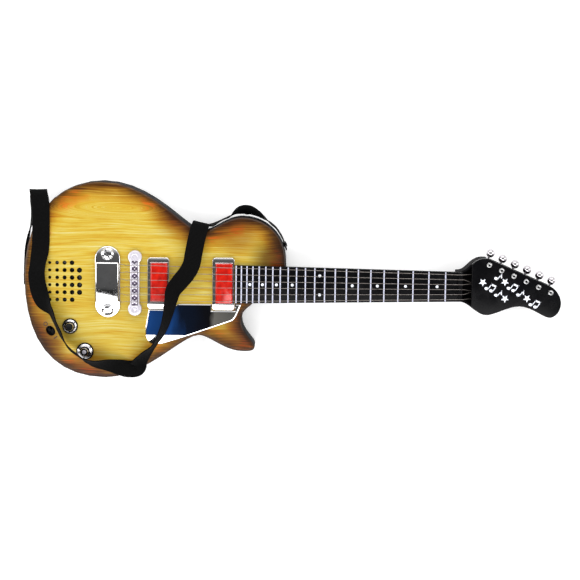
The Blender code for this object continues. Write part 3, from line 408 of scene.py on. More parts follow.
# Where the print is darkest: centre, reach in mm, strength and colour.
DARK_PLACES = (
    ((176, 30, 0), 42, 0.85, shade(92, 62, 40)),
    ((60, 92, 0), 52, 0.75, shade(160, 110, 50)),
    ((128, 66, 0), 44, 0.7, shade(176, 124, 50)),
    ((-118, -72, 0), 46, 0.7, shade(150, 110, 50)),
    ((-60, -112, 0), 40, 0.7, shade(170, 110, 40)),
    ((138, -62, 0), 46, 0.8, shade(140, 98, 50)),
)
# The arched figure in the grain: its centre, how narrow it is, and where it fades out.
FIGURE = Vector((-20, 97.6))
FIGURE_ROUND = 0.13
FIGURE_FADE = (8, 15)
BURST_DEPTH = 30
RAGGED = 16


def film_look():
    """Printed wood grain with a sunburst. 'edge' is the distance to the body's outline."""
    look = Look("film_print", roughness=0.34, Coat_Weight=0.08, Coat_Roughness=0.12)
    look.set(Specular_IOR_Level=0.2)
    x, y, _ = look.axes()
    bend = look.noise((0.007, 0.018, 0), detail=1) * 18
    along = (x - FIGURE.x) * FIGURE_ROUND
    across = y + bend * 0.35 - FIGURE.y
    arch = look.math("SQRT", along * along + across * across)
    inside = look.span(arch, *FIGURE_FADE, 1, 0)
    grain = (y + bend) * look.math("SUBTRACT", 1, inside) + arch * 1.7 * inside
    flow = look.join(x, grain)
    broad = look.noise((0.008, 0.13, 1), detail=4, roughness=0.6, at=flow)
    streak = look.noise((0.016, 0.6, 1), detail=5, roughness=0.62, at=flow, distortion=0.15)
    fine = look.noise((0.035, 2.6, 1), detail=4, roughness=0.6, at=flow)
    wood = look.ramp(
        broad * 0.42 + streak * 0.58, (0.34, shade(174, 126, 28)), (0.43, shade(187, 153, 44)),
        (0.5, shade(193, 168, 62)), (0.57, shade(197, 180, 90)), (0.66, shade(202, 197, 130)),
    )
    wood = look.mix(look.span(fine, 0.44, 0.62, 0, 0.26), wood, shade(206, 150, 40), "MULTIPLY")
    wobble = (look.noise((0.016, 0.03, 0)) - 0.5) * RAGGED
    depth = look.attribute("edge") + wobble + (streak - 0.5) * RAGGED
    burst = look.ramp(
        look.span(depth, 0, BURST_DEPTH, smooth=False),
        (0, (0.07, 0.036, 0.02)), (0.14, (0.17, 0.09, 0.035)), (0.32, (0.47, 0.28, 0.08)),
        (0.52, (0.8, 0.58, 0.24)), (0.75, (0.97, 0.9, 0.66)), (1, (1, 1, 1)),
    )
    wood = look.mix(1, wood, burst, "MULTIPLY")
    patch = look.noise((0.018, 0.028, 0), detail=2, roughness=0.5)
    near = look.span(depth, 4, 12) * look.span(depth, 16, BURST_DEPTH, 1, 0)
    flame = look.span(patch, 0.48, 0.6) * near * look.span(streak, 0.48, 0.56)
    wood = look.mix(flame * 0.85, wood, shade(196, 80, 10))
    for centre, reach, share, colour in DARK_PLACES:
        away = look.vector("DISTANCE", look.join(x, y), centre)
        spot = look.span(away, reach * 0.25, reach, share, 0)
        wood = look.mix(spot, wood, colour, "MULTIPLY")
    look.colour(wood)
    return look.bump(look.noise((0.03, 0.9, 0), at=flow), 0.05, 0.05).material


def moulded(name, colour, roughness, grain, strength=0.12, **settings):
    """Moulded plastic: fine texture from the tool, and a few shallow rubbed places."""
    look = Look(name, colour, roughness, **settings).smudged(roughness, 0.07)
    paler = tuple(min(1, c * 1.5 + 0.002) for c in colour)
    look.patchy(look.noise(0.03, detail=6, roughness=0.7), 0.5, 0.75, 0.7, colour, paler)
    return look.bump(look.noise(grain, detail=2), strength, 0.06).material


def plated(name, colour, roughness, wave=0.05, strength=0.12):
    """Chrome-look plating on plastic: nearly a mirror, with a slow ripple and light haze."""
    look = Look(name, colour, roughness, Metallic=1).smudged(roughness, roughness * 0.5, 0.08)
    dull = tuple(c * 0.86 for c in colour)
    look.patchy(look.noise(0.12, detail=5, roughness=0.7), 0.5, 0.7, 0.6, colour, dull)
    return look.bump(look.noise(wave, detail=1), strength, 0.6).material


def mirror_painted_reflection_look():
    """The mirror-plated pickguard, with painted reflections in its colour: blue at its bridge end, near
    black in the middle, grey at its neck end.
    """
    look = Look("mirror_plate_painted_reflection", roughness=0.06, Metallic=0.6).smudged(0.06, 0.03, 0.06)
    drift = look.noise((0.05, 0.02, 0), detail=2) * 26
    # Painted reflections: along X the colour runs from blue through near black to grey.
    look.colour(look.ramp(
        look.span(look.axes()[0] + drift, 20, 150, smooth=False),
        (0, (0.02, 0.11, 0.42)), (0.3, (0.015, 0.08, 0.3)), (0.42, (0.006, 0.012, 0.03)),
        (0.66, (0.006, 0.006, 0.008)), (0.71, (0.22, 0.21, 0.19)), (1, (0.12, 0.12, 0.11)),
    ))
    return look.bump(look.noise(0.03, detail=1), 0.2, 0.8).material


def lens_look():
    """Clear red plastic over a prism pattern."""
    look = Look("red_plastic", roughness=0.16, Coat_Weight=0.6, Coat_Roughness=0.06)
    look.set(Subsurface_Weight=0.15, Subsurface_Radius=(0.004, 0.0006, 0.0003))
    cloud = look.noise((0.16, 0.1, 0.1), detail=4)
    look.colour(look.ramp(cloud, (0.35, shade(170, 14, 4)), (0.65, shade(208, 28, 8))))
    return look.bump(look.noise(1.1, detail=1), 0.12, 0.1).material


def string_look(name, winding):
    """Drawn wire, with painted shade that darkens it beyond the nut. winding is how strongly its turns
    show.
    """
    look = Look(name, shade(120, 112, 106), 0.36, Metallic=0.5)
    x = look.axes()[0]
    metal = look.ramp(
        look.noise((0.3, 2, 2)), (0.35, shade(104, 96, 90)), (0.65, shade(150, 144, 140)))
    # Painted shade: beyond the nut the wire turns darker.
    look.patchy(x, NUT.x, NUT.x + 14, 0.7, metal, shade(52, 46, 42))
    return look.bump(look.wave(x, 0.6), winding, 0.08).material


def webbing_look():
    """Black polyester ribbon. 'along' and 'across' are millimetres on the ribbon."""
    look = Look("webbing_weave", roughness=0.8, Sheen_Weight=0.02, Sheen_Roughness=0.45)
    look.set(Specular_IOR_Level=0.05)
    weft = look.wave(look.attribute("along"), RIB_PITCH)
    warp = look.wave(look.attribute("across"), 0.7)
    lint = look.noise(0.6, detail=5, roughness=0.7)
    woven = weft * 0.5 + warp * 0.35
    look.colour(look.ramp(
        woven * 0.3 + lint, (0.2, shade(3, 3, 3)), (0.6, shade(8, 8, 8)), (0.95, shade(19, 19, 20))))
    return look.bump(woven * look.noise(1.4), 0.6, 0.25).material


def printed(name, colour):
    """Ink or paint: slightly uneven and a little worn."""
    look = Look(name, colour, 0.42)
    wear = look.noise(0.5, detail=5, roughness=0.7)
    look.patchy(wear, 0.5, 0.75, 0.35, colour, tuple(c * 0.6 for c in colour))
    return look.bump(wear, 0.06, 0.05).material


def board_look():
    """Green circuit board with faint tracks under the lacquer."""
    look = Look("green_board", roughness=0.4, Coat_Weight=0.3)
    bend = look.noise(0.06, detail=0) * 30
    ways = [look.math("SINE", axis * 2.4 + bend) for axis in look.axes()[:2]]
    track = look.span(look.math("MAXIMUM", *ways), 0.85, 0.95)
    look.colour(look.mix(track, shade(14, 74, 34), shade(44, 122, 60)))
    return look.bump(track, 0.2, 0.05).material


def cell_look():
    """Plain printed battery sleeve: a band at one end and a slightly brushed body."""
    look = Look("cell_sleeve", roughness=0.28, Metallic=0.35)
    band = look.span(look.axes()[0], 82, 82.4)
    brushed = look.noise((0.02, 2.5, 2.5))
    body = look.mix(brushed, shade(24, 52, 112), shade(38, 74, 140))
    look.colour(look.mix(band, body, shade(196, 150, 84)))
    return look.bump(brushed, 0.05, 0.05).material


BLACK = shade(17, 16, 18)
DEEP_BLACK = shade(8, 8, 10)
LOOKS = {
    "film": film_look(),
    "shell": moulded("satin_black", BLACK, 0.7, 1.6, Specular_IOR_Level=0.03),
    "rim": moulded("rim_black", BLACK, 0.6, 0.5, 0.05, Specular_IOR_Level=0.04),
    "gloss": moulded("gloss_black", DEEP_BLACK, 0.24, 0.4, 0.05, Specular_IOR_Level=0.12),
    "rubber": moulded("ring_black", DEEP_BLACK, 0.45, 1.2, Specular_IOR_Level=0.15),
    "chrome": plated("chrome_plate", (0.82, 0.82, 0.83), 0.07),
    # A darker copy of the chrome plating: painted shade for the tuner buttons, which are plated like the
    # rest.
    "shaded_chrome": plated("chrome_plate_painted_shade", (0.52, 0.5, 0.52), 0.1),
    "satin": plated("satin_plate", (0.86, 0.84, 0.85), 0.3),
    "silver": moulded("silver_plastic", shade(208, 204, 214), 0.3, 0.8, 0.05, Metallic=0.3),
    # A darker mauve for the floor of the bridge's trough: painted shade.
    "trough_shade_mauve": printed("painted_trough_shade", shade(118, 102, 128)),
    "steel": plated("zinc_steel", (0.5, 0.5, 0.5), 0.3, 0.6, 0.3),
    "mirror": mirror_painted_reflection_look(),
    "lens": lens_look(),
    "plain_string": string_look("plain_string", 0.02),
    "wound_string": string_look("wound_string", 0.5),
    "webbing": webbing_look(),
    "thread": printed("stitch_thread", shade(46, 46, 50)),
    "white": printed("white_ink", shade(236, 240, 248)),
    "fret": printed("fret_paint", shade(206, 208, 228)),
    "dark_ink": printed("dark_ink", shade(72, 40, 14)),
    "circuit": board_look(),
    "cell": cell_look(),
    "paper": printed("pressed_paper", shade(34, 32, 32)),
}


# ---- mesh tools


def add_object(name, data):
    obj = bpy.data.objects.new(name, data)
    bpy.context.scene.collection.objects.link(obj)
    return obj


def shape(build):
    """An object whose mesh build(bm) makes, in place."""
    bm = bmesh.new()
    build(bm)
    mesh = bpy.data.meshes.new("helper")
    bm.to_mesh(mesh)
    bm.free()
    return add_object("helper", mesh)


def evaluated(obj):
    """The mesh that a curve, or an object with modifiers, makes."""
    bpy.context.view_layer.update()
    graph = bpy.context.evaluated_depsgraph_get()
    return bpy.data.meshes.new_from_object(obj.evaluated_get(graph))


def from_curve(curve):
    helper = add_object("curve", curve)
    mesh = evaluated(helper)
    bpy.data.objects.remove(helper, do_unlink=True)
    return mesh


def modify(obj, kind, **settings):
    """Adds a modifier and makes it part of the mesh."""
    modifier = obj.modifiers.new(kind, kind)
    for name, value in settings.items():
        setattr(modifier, name, value)
    mesh = evaluated(obj)
    obj.modifiers.clear()
    obj.data = mesh
    return obj


def edit(obj, change):
    bm = bmesh.new()
    bm.from_mesh(obj.data)
    change(bm)
    bm.to_mesh(obj.data)
    bm.free()
    return obj


def boolean(obj, other, operation, overlapping):
    modify(obj, "BOOLEAN", operation=operation, solver="EXACT", use_self=overlapping, object=other)
    bpy.data.objects.remove(other, do_unlink=True)
    return obj


def cut(obj, other, overlapping=False):
    return boolean(obj, other, "DIFFERENCE", overlapping)


def join(obj, other, overlapping=False):
    return boolean(obj, other, "UNION", overlapping)


def bevel(obj, width, segments=3, angle=30):
    return modify(
        obj, "BEVEL", width=width * MM, segments=segments, limit_method="ANGLE",
        angle_limit=math.radians(angle))


def solidify(obj, thickness):
    return modify(obj, "SOLIDIFY", thickness=thickness * MM, offset=-1, use_even_offset=True)


def add_box(bm, start, end, turn=None):
    start, end = Vector(start), Vector(end)
    place = Matrix.Translation((start + end) * MM / 2) @ Matrix.Diagonal((*((end - start) * MM), 1))
    return bmesh.ops.create_cube(bm, size=1, matrix=(turn or Matrix()) @ place)["verts"]


def block(start, end, turn=None):
    return shape(lambda bm: add_box(bm, start, end, turn))


def add_cylinder(bm, radius, start, end, centre=(0, 0), turn=None, segments=40):
    bmesh.ops.create_cone(
        bm, cap_ends=True, segments=segments, radius1=radius * MM, radius2=radius * MM,
        depth=(end - start) * MM, matrix=(turn or Matrix()) @ at(*centre, (start + end) / 2),
    )


def add_turned(bm, profile, place, steps=48):
    """A solid of revolution about Z. The profile is (radius, height)."""
    made = [bm.verts.new((r * MM, 0, z * MM)) for r, z in profile]
    edges = [bm.edges.new(pair) for pair in zip(made, made[1:])]
    bmesh.ops.spin(
        bm, geom=made + edges, axis=(0, 0, 1), cent=(0, 0, 0), steps=steps, angle=2 * math.pi,
        use_merge=True,
    )
    verts = [v for v in bm.verts if not v.tag]
    bmesh.ops.remove_doubles(bm, verts=verts, dist=0.000002)
    verts = [v for v in bm.verts if not v.tag]
    bmesh.ops.transform(bm, matrix=place, verts=verts)
    bmesh.ops.recalc_face_normals(bm, faces=bm.faces)
    for vert in verts:
        vert.tag = True


def turned(profile, place, steps=48):
    return shape(lambda bm: add_turned(bm, profile, place, steps))


def at(x, y, z=0):
    return Matrix.Translation((x * MM, y * MM, z * MM))


def rotated(angle, axis="Z"):
    return Matrix.Rotation(math.radians(angle), 4, axis)


def sideways(x, y, z, angle):
    """A place whose Z axis points along angle degrees from +X."""
    return at(x, y, z) @ rotated(angle) @ rotated(90, "Y")


def polar(r, angle):
    """The point at distance r along angle degrees from +X."""
    turn = math.radians(angle)
    return Vector((r * math.cos(turn), r * math.sin(turn)))


def shape_handles(point, kind):
    """A node's handles: automatic, towards its neighbours, or along a heading with two reaches."""
    if len(kind) < 3:
        handle = kind[0] if kind else SMOOTH
        point.handle_left_type = handle
        point.handle_right_type = handle
        return
    heading, back, ahead = kind
    along = polar(MM, heading).to_3d()
    point.handle_left_type = "FREE"
    point.handle_right_type = "FREE"
    point.handle_left = point.co - along * back
    point.handle_right = point.co + along * ahead


def outline_points(outline):
    """The outline as counter-clockwise (x, y) points in millimetres."""
    curve = bpy.data.curves.new("outline", "CURVE")
    curve.dimensions = "2D"
    curve.fill_mode = "NONE"
    curve.resolution_u = OUTLINE_STEPS
    spline = curve.splines.new("BEZIER")
    spline.bezier_points.add(len(outline) - 1)
    spline.use_cyclic_u = True
    for point, (x, y, *kind) in zip(spline.bezier_points, outline):
        point.co = (x * MM, y * MM, 0)
        shape_handles(point, kind)
    points = [vert.co.xy / MM for vert in from_curve(curve).vertices]
    area = sum(a.x * b.y - b.x * a.y for a, b in zip(points, points[1:] + points[:1]))
    return points if area > 0 else points[::-1]


def add_prism(bm, points, start, end, bottom=True, top=True):
    """Straight walls on a counter-clockwise outline, with flat ends."""
    rings = [[bm.verts.new((p.x * MM, p.y * MM, z * MM)) for p in points] for z in (start, end)]
    count = len(points)
    for i in range(count):
        j = (i + 1) % count
        bm.faces.new((rings[0][i], rings[0][j], rings[1][j], rings[1][i]))
    if bottom:
        bm.faces.new(reversed(rings[0]))
    if top:
        bm.faces.new(rings[1])


def extruded(points, start, end, **ends):
    return shape(lambda bm: add_prism(bm, points, start, end, **ends))


def prism(outline, start, end, **ends):
    return extruded(outline_points(outline), start, end, **ends)


def slice_faces(bm, faces, axis, places):
    """Cuts the faces along planes across one axis, so that they can bend or carry colour."""
    normal = [0, 0, 0]
    normal[axis] = 1
    chosen = set(faces)
    for place in places:
        point = [n * place * MM for n in normal]
        geom = list(chosen) + list({e for f in chosen for e in f.edges}) + list(
            {v for f in chosen for v in f.verts})
        done = bmesh.ops.bisect_plane(bm, geom=geom, plane_co=point, plane_no=normal, dist=1e-7)
        chosen = {g for g in done["geom"] if isinstance(g, bmesh.types.BMFace)}
    return chosen


def paint(obj, looks):
    """Gives obj the looks named in one string, in that order."""
    obj.data.materials.clear()
    for look in looks.split():
        obj.data.materials.append(LOOKS[look])


def piece(name, obj, looks, stands_for=None, body=BODY, angle=35):
    """Names, paints and shades a finished mesh and lets it ride on its body."""
    obj.name = name
    obj.data.name = name
    paint(obj, looks)
    obj.data.shade_smooth()
    obj.data.set_sharp_from_angle(angle=math.radians(angle))
    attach(obj, body)
    if stands_for:
        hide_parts(stands_for)
    return obj


def board_half(x):
    share = (x - BOARD_LOW.x) / (NUT.x - BOARD_LOW.x)
    return BOARD_HALF_START + (BOARD_HALF_END - BOARD_HALF_START) * share


def string_y(index, pitch):
    return (STRING_COUNT - 1 - 2 * index) / 2 * pitch


def post_at(number):
    return FIRST_POST + POST_STEP * number


def worm_place(number):
    along = POST_STEP.normalized()
    place = post_at(number) - along * WORM_OFFSET
    angle = math.degrees(math.atan2(along.x, -along.y))
    return sideways(place.x, place.y, WORM_Z, angle)


SWITCH_TURN = at(*SWITCH) @ rotated(SWITCH_ANGLE)



# ---- body

COVER_CUT = (34, 45)
GRILLE_CUT = (35, 45)
GRID = 3


def front_cover():
    cover = prism(BODY_OUTLINE, SPLIT_Z, BODY_TOP, bottom=False)
    bevel(cover, EDGE_ROUND, segments=6, angle=60)
    solidify(cover, WALL)

    def holes(bm):
        ends = (0, GRILLE_COUNT - 1)
        for column in range(GRILLE_COUNT):
            for row in range(GRILLE_COUNT):
                if column in ends and row in ends:
                    continue
                centre = (GRILLE_START[0] + GRILLE_PITCH * column, GRILLE_START[1] - GRILLE_PITCH * row)
                add_cylinder(bm, GRILLE_R + GRILLE_GROWTH * column, *GRILLE_CUT, centre, segments=28)
        for node in ("volume_knob", "tone_knob"):
            add_cylinder(bm, KNOB_HOLE_R, *COVER_CUT, middle(node).xy)
        add_cylinder(bm, 1, *COVER_CUT, turn=SWITCH_TURN @ Matrix.Diagonal((6.8, 5.4, 1, 1)))
        top = NECK_TONGUE[1][2] + GAP
        add_box(bm, (SLOT_LOW_X, -SLOT_HALF, SPLIT_Z - 2), (SLOT_HIGH_X, SLOT_HALF, top))

    cut(cover, shape(holes))
    x0, y0 = low("front_cover").xy
    x1, y1 = high("front_cover").xy

    def grid(bm):
        level = (BODY_TOP - 0.1) * MM
        top = [f for f in bm.faces if f.normal.z > 0.99 and f.calc_center_median().z > level]
        top = slice_faces(bm, top, 0, np.arange(x0 + GRID, x1, GRID))
        slice_faces(bm, top, 1, np.arange(y0 + GRID, y1, GRID))

    edit(cover, grid)
    piece("front_cover_film", cover, "film rim", "front_cover")
    for face in cover.data.polygons:
        outer = face.center.z > (BODY_TOP - EDGE_ROUND) * MM and face.normal.z > 0.45
        face.material_index = 0 if outer else 1
    painted_shade_ring = np.array([tuple(p) for p in outline_points(BODY_OUTLINE)])
    verts = np.array([v.co.xy for v in cover.data.vertices]) / MM
    nearest = np.full(len(verts), 1e9)
    for a, b in zip(painted_shade_ring, np.roll(painted_shade_ring, -1, axis=0)):
        side = b - a
        share = np.clip(((verts - a) @ side) / (side @ side), 0, 1)
        nearest = np.minimum(nearest, np.linalg.norm(verts - a - share[:, None] * side, axis=1))
    edge = cover.data.attributes.new("edge", "FLOAT", "POINT")
    edge.data.foreach_set("value", nearest.astype(np.float32))


def back_shell():
    shell = prism(BODY_OUTLINE, 0, SPLIT_Z - GAP, top=False)
    bevel(shell, EDGE_ROUND, segments=4, angle=60)
    solidify(shell, BACK_PLATE)
    wall = 1.6
    bay = (
        (BAY_LOW[0] - wall, BAY_LOW[1] - wall, 1),
        (BAY_HIGH[0] + wall, BAY_HIGH[1] + wall, BAY_ROOF + wall),
    )

    def posts(bm):
        for place in CASE_SCREWS:
            add_cylinder(bm, BOSS_R, 1, BOSS_TOP, place)
        add_cylinder(bm, BOSS_R, 1, NECK_TONGUE[0][2] - GAP, NECK_SCREW)

    def recesses(bm):
        for place in (*CASE_SCREWS, NECK_SCREW):
            add_cylinder(bm, WELL_R, -1, WELL_TOP, place)
            add_cylinder(bm, SHANK_R, -1, 15, place)
        add_cylinder(bm, SCREW_HOLE_R, 2, 14, DOOR_SCREW)

    def side_holes(bm):
        base = NECK_TONGUE[0][2] - GAP
        add_box(bm, (SLOT_LOW_X, -SLOT_HALF, base), (SLOT_HIGH_X, SLOT_HALF, SPLIT_Z + 2))
        add_cylinder(bm, JACK_HOLE_R, -12, 8, turn=sideways(*JACK, -90))

    join(shell, block(*bay))
    join(shell, shape(posts))
    cut(shell, block((*BAY_LOW, BACK_PLATE), (*BAY_HIGH, BAY_ROOF)))
    join(shell, shape(lambda bm: add_cylinder(bm, 3.4, WELL_TOP, BAY_ROOF + 0.8, DOOR_SCREW)))
    cut(shell, block(
        (DOOR_LOW.x + 2.2, DOOR_LOW.y - 0.4, -1), (DOOR_HIGH.x + 0.4, DOOR_HIGH.y + 0.4, WELL_TOP)))
    cut(shell, shape(recesses), overlapping=True)
    cut(shell, shape(side_holes))
    piece("back_shell_moulding", shell, "shell", "back_shell")


def battery_door():
    y = middle("battery_door").y
    start = DOOR_LOW.x + 2.6

    def ridges(bm):
        """Grip lines that get shorter towards the screw."""
        for step in range(7):
            x, half = 84 + step * 1.9, 10 - step * 0.9
            add_box(bm, (x, y - half, -0.4), (x + 0.8, y + half, 0.35))

    def tabs(bm):
        for dy in (-14, 14):
            add_box(bm, (start - 2.6, y + dy - 4, 2.8), (start + 3, y + dy + 4, 4.2))
            add_box(bm, (start + 0.4, y + dy - 4, 1.5), (start + 3, y + dy + 4, 3.4))

    def screw_hole(bm):
        add_cylinder(bm, 3.6, -1, 1.3, DOOR_SCREW)
        add_cylinder(bm, SCREW_HOLE_R, -1, 4, DOOR_SCREW)

    door = block((start, DOOR_LOW.y, 0), (DOOR_HIGH.x, DOOR_HIGH.y, 2.1))
    bevel(door, 0.35, segments=2)
    join(door, shape(tabs), overlapping=True)
    cut(door, shape(screw_hole), overlapping=True)
    cut(door, shape(ridges))
    piece("battery_door_panel", door, "shell", "battery_door", "battery_door")


def screws():
    """Pan heads with a cross recess, heads down in their wells."""
    wells = {f"case_screw_{n}": (place, 3.5, 0.6, BODY) for n, place in enumerate(CASE_SCREWS, 1)}
    wells["neck_screw"] = (NECK_SCREW, 3.5, 0.6, BODY)
    wells["battery_door_screw"] = (DOOR_SCREW, 3.3, 0.1, "battery_door")
    for node, ((x, y), r, base, body) in wells.items():
        top = high(node).z
        profile = [
            (0, base), (r * 0.55, base + 0.05), (r * 0.85, base + 0.35), (r, base + 1),
            (r, base + 1.3), (1.4, base + 1.5), (1.4, top - 2), (0.2, top), (0, top),
        ]
        head = turned(profile, at(x, y))

        def cross(bm):
            for angle in (20, 110):
                turn = at(x, y) @ rotated(angle)
                add_box(bm, (-1.9, -0.35, base - 1), (1.9, 0.35, base + 0.9), turn)

        cut(head, shape(cross), overlapping=True)
        piece(f"{node}_head", head, "steel", node, body)


def batteries():
    for number in (1, 2, 3):
        node = f"battery_cell_{number}"
        place, length, r = middle(node), high(node).x - low(node).x, 7.1
        body = length - 1.2
        profile = [
            (0, length), (2.2, length), (2.6, length - 0.3), (2.6, body), (6.2, body),
            (6.8, body - 0.2), (r, body - 0.8), (r, 0.8), (6.8, 0.2), (5.9, 0), (5.6, 0.3), (0, 0.3),
        ]
        cell = turned(profile, sideways(low(node).x, place.y, place.z, 0))
        piece(f"{node}_sleeve", cell, "cell", node)


# ---- neck and headstock


def neck_shell():
    sides, length = 72, NECK_END - HEEL_X

    def half_cone(bm):
        squashed = Matrix.Diagonal((1, 1, NECK_SQUASH, 1))
        place = at(HEEL_X + length / 2, 0, NECK_TOP) @ squashed @ rotated(90, "Y")
        bmesh.ops.create_cone(
            bm, cap_ends=True, segments=sides, radius1=board_half(HEEL_X) * MM,
            radius2=board_half(NECK_END) * MM, depth=length * MM,
            matrix=place @ rotated(180 / sides),
        )
        bmesh.ops.bisect_plane(
            bm, geom=list(bm.verts) + list(bm.edges) + list(bm.faces),
            plane_co=(0, 0, (NECK_TOP + 1) * MM), plane_no=(0, 0, 1), clear_outer=True,
        )

    neck = shape(half_cone)
    solidify(neck, WALL)
    cut(neck, block((180, -30, NECK_TOP), (430, 30, 60)))
    tray = prism(HEAD_OUTLINE, HEAD_FLOOR, HEAD_RIM, top=False)
    bevel(tray, EDGE_ROUND, segments=4, angle=60)
    solidify(tray, WALL)
    join(neck, tray, overlapping=True)
    join(neck, block(*NECK_TONGUE))

    def shaft_holes(bm):
        for number in range(TUNER_COUNT):
            add_cylinder(bm, SHAFT_HOLE_R, 3, 16, turn=worm_place(number), segments=20)

    cut(neck, shape(shaft_holes))
    piece("neck_moulding", neck, "shell", "neck_shell")


FRET_HALF, FRET_STEPS = 0.8, 8
DOT_FRETS, DOUBLE_DOT, DOT_SPREAD = (1, 3, 5, 7, 10, 13, 15, 17, 19), 10, 12


def fretboard():
    def taper(bm):
        start, end = BOARD_LOW.x, BOARD_HIGH.x
        for vert in add_box(bm, (start, -1, NECK_TOP + GAP), (end, 1, BOARD_TOP)):
            half = board_half(end if vert.co.x > (start + end) * MM / 2 else start)
            vert.co.y = math.copysign(half, vert.co.y) * MM

    board = shape(taper)
    bevel(board, 0.9, segments=4)
    join(board, block((BOARD_LOW.x, -22, BODY_TOP + GAP), (HEEL_X - 0.6, 22, NECK_TOP + 1)))
    piece("fretboard_slab", board, "gloss", "fretboard")
    places = [FIRST_FRET_X - FRET_SCALE * (1 - 2 ** (-n / 12)) for n in range(FRET_COUNT)]

    def frets(bm):
        """Crowned bars with rounded ends."""
        for x in places:
            half = board_half(x) - 0.5
            rows = []
            for step in range(FRET_STEPS + 1):
                angle = math.pi * step / FRET_STEPS
                dx, dz = -FRET_HALF * math.cos(angle), FRET_HEIGHT * math.sin(angle)
                inset = 0.5 * (1 - math.sin(angle))
                rows.append([
                    bm.verts.new(((x + dx) * MM, side * (half - inset) * MM, (BOARD_TOP - 0.02 + dz) * MM))
                    for side in (-1, 1)
                ])
            for a, b in zip(rows, rows[1:]):
                bm.faces.new((a[0], b[0], b[1], a[1]))
            bm.faces.new([row[0] for row in rows][::-1])
            bm.faces.new([row[1] for row in rows])
            bm.faces.new((rows[0][0], rows[0][1], rows[-1][1], rows[-1][0]))
        bmesh.ops.recalc_face_normals(bm, faces=bm.faces)

    piece("frets", shape(frets), "fret", angle=50)

    def dots(bm):
        profile = [(0, 0.22), (1, 0.2), (1.6, 0.12), (1.8, 0), (1.8, -0.3), (0, -0.3)]
        for number in DOT_FRETS:
            x = (places[number - 1] + places[number]) / 2
            for y in (-DOT_SPREAD, DOT_SPREAD) if number == DOUBLE_DOT else (0,):
                add_turned(bm, profile, at(x, y, BOARD_TOP), steps=24)

    piece("position_dots", shape(dots), "white")


def nut():
    bar = block(low("nut"), high("nut"))
    bevel(bar, 0.5, segments=3)

    def notches(bm):
        for index in range(STRING_COUNT):
            turn = sideways(NUT.x, string_y(index, NUT_PITCH), NUT_STRING_Z + 0.1, 0)
            add_cylinder(bm, 0.75, -5, 5, turn=turn, segments=16)

    cut(bar, shape(notches))
    piece("nut_block", bar, "gloss", "nut")


def add_note(bm, place, kind, size):
    """A flat sign: a note, a pair of notes or a star."""
    ink = 0.16

    def slab(points):
        add_prism(bm, [Vector(p) * size for p in points], 0, ink)

    before = len(bm.verts)
    heads = {"note": ((0, 0),), "pair": ((-0.26, -0.04), (0.26, 0.06)), "star": ()}[kind]
    tilt = Matrix.Rotation(math.radians(22), 2)
    for centre in heads:
        painted_shade_ring = []
        for step in range(24):
            a = 2 * math.pi * step / 24
            painted_shade_ring.append(Vector(centre) + tilt @ Vector((0.2 * math.cos(a), 0.145 * math.sin(a))))
        slab(painted_shade_ring)
        slab([Vector(centre) + Vector(p) for p in ((0.12, 0), (0.2, 0.02), (0.2, 0.72), (0.12, 0.72))])
    if kind == "note":
        slab([(0.12, 0.5), (0.2, 0.46), (0.42, 0.3), (0.45, 0.42), (0.3, 0.56), (0.2, 0.74), (0.12, 0.74)])
    if kind == "pair":
        slab([(-0.14, 0.5), (0.46, 0.62), (0.46, 0.8), (-0.14, 0.68)])
    if kind == "star":
        points = []
        for step in range(10):
            points.append(Vector((0, 0.25)) + polar(0.18 if step % 2 else 0.42, 36 * step + 90))
        slab(points)
    bm.verts.ensure_lookup_table()
    bmesh.ops.transform(bm, matrix=place, verts=bm.verts[before:])


def headstock():
    top = high("headstock_cover").z
    cover = prism(HEAD_OUTLINE, HEAD_COVER_LOW, top)
    cut(cover, block((390, -60, 30), (COVER_X, 60, 60)))
    bevel(cover, 1.2, segments=4, angle=50)

    def post_holes(bm):
        for number in range(TUNER_COUNT):
            add_cylinder(bm, POST_HOLE_R, 38, 52, post_at(number))

    cut(cover, shape(post_holes))
    piece("headstock_cover_plate", cover, "gloss", "headstock_cover")

    def signs(bm):
        slope = -36
        rows = (
            (Vector((453.4, 11.2)), ("note", "star", "pair", "note", "star", "pair")),
            (Vector((435, 3.7)), ("star", "pair", "note", "star")),
        )
        for start, kinds in rows:
            for step, kind in enumerate(kinds):
                spot = start + polar(SIGN_PITCH * step, slope)
                add_note(bm, at(*spot, top - 0.01) @ rotated(slope), kind, SIGN_SIZE)

    piece("headstock_signs", shape(signs), "white")


BALL_R = 5.5


def tuners():
    ball = [(0, POST_TO_BUTTON + BALL_R)]
    for step in range(1, 15):
        height, r = polar(BALL_R, step * 11.2)
        ball.append((r, POST_TO_BUTTON + height))
    ball += [
        (1.9, POST_TO_BUTTON - 5.35), (1.9, POST_TO_BUTTON - 6), (1.3, POST_TO_BUTTON - 6.3),
        (1.2, 3.2), (1.35, 3), (1.35, -3), (0, -3.2),
    ]
    eyelet = [
        (0, 44.6), (0.9, 44.6), (1.25, 45.2), (1.5, 47.3), (2, 47.5), (2.6, 47.5),
        (3.1, 47.2), (3.15, 46.9), (3.15, 42.3), (1.3, 42.3), (1.3, 35.6), (1.6, 35.6), (1.6, 32.4),
        (1.3, 32.4), (1.3, 29.5), (0, 29.5),
    ]
    core = [(0, 46.4), (1.2, 46.4), (1.5, 46.2), (1.5, 45.2), (0, 45.2)]
    collar = [(1.6, 0), (2.6, 0), (2.6, 0.5), (2.2, 0.9), (1.6, 0.9), (1.6, 0)]
    for number in range(1, TUNER_COUNT + 1):
        worm, post = worm_place(number - 1), at(*post_at(number - 1))
        node = f"tuner_button_{number}"
        # The buttons take the darker chrome copy: painted shade.
        piece(f"{node}_plated", turned(ball, worm), "shaded_chrome", node, node)
        node = f"tuner_post_{number}"
        piece(f"{node}_plated", turned(eyelet, post), "steel", node, node)
        piece(f"tuner_core_{number}", turned(core, post, 32), "rubber", body=node)
        painted_shade_ring = turned(collar, worm @ at(0, 0, HEAD_WALL), 32)
        piece(f"tuner_collar_{number}", painted_shade_ring, "chrome")


# ---- strings


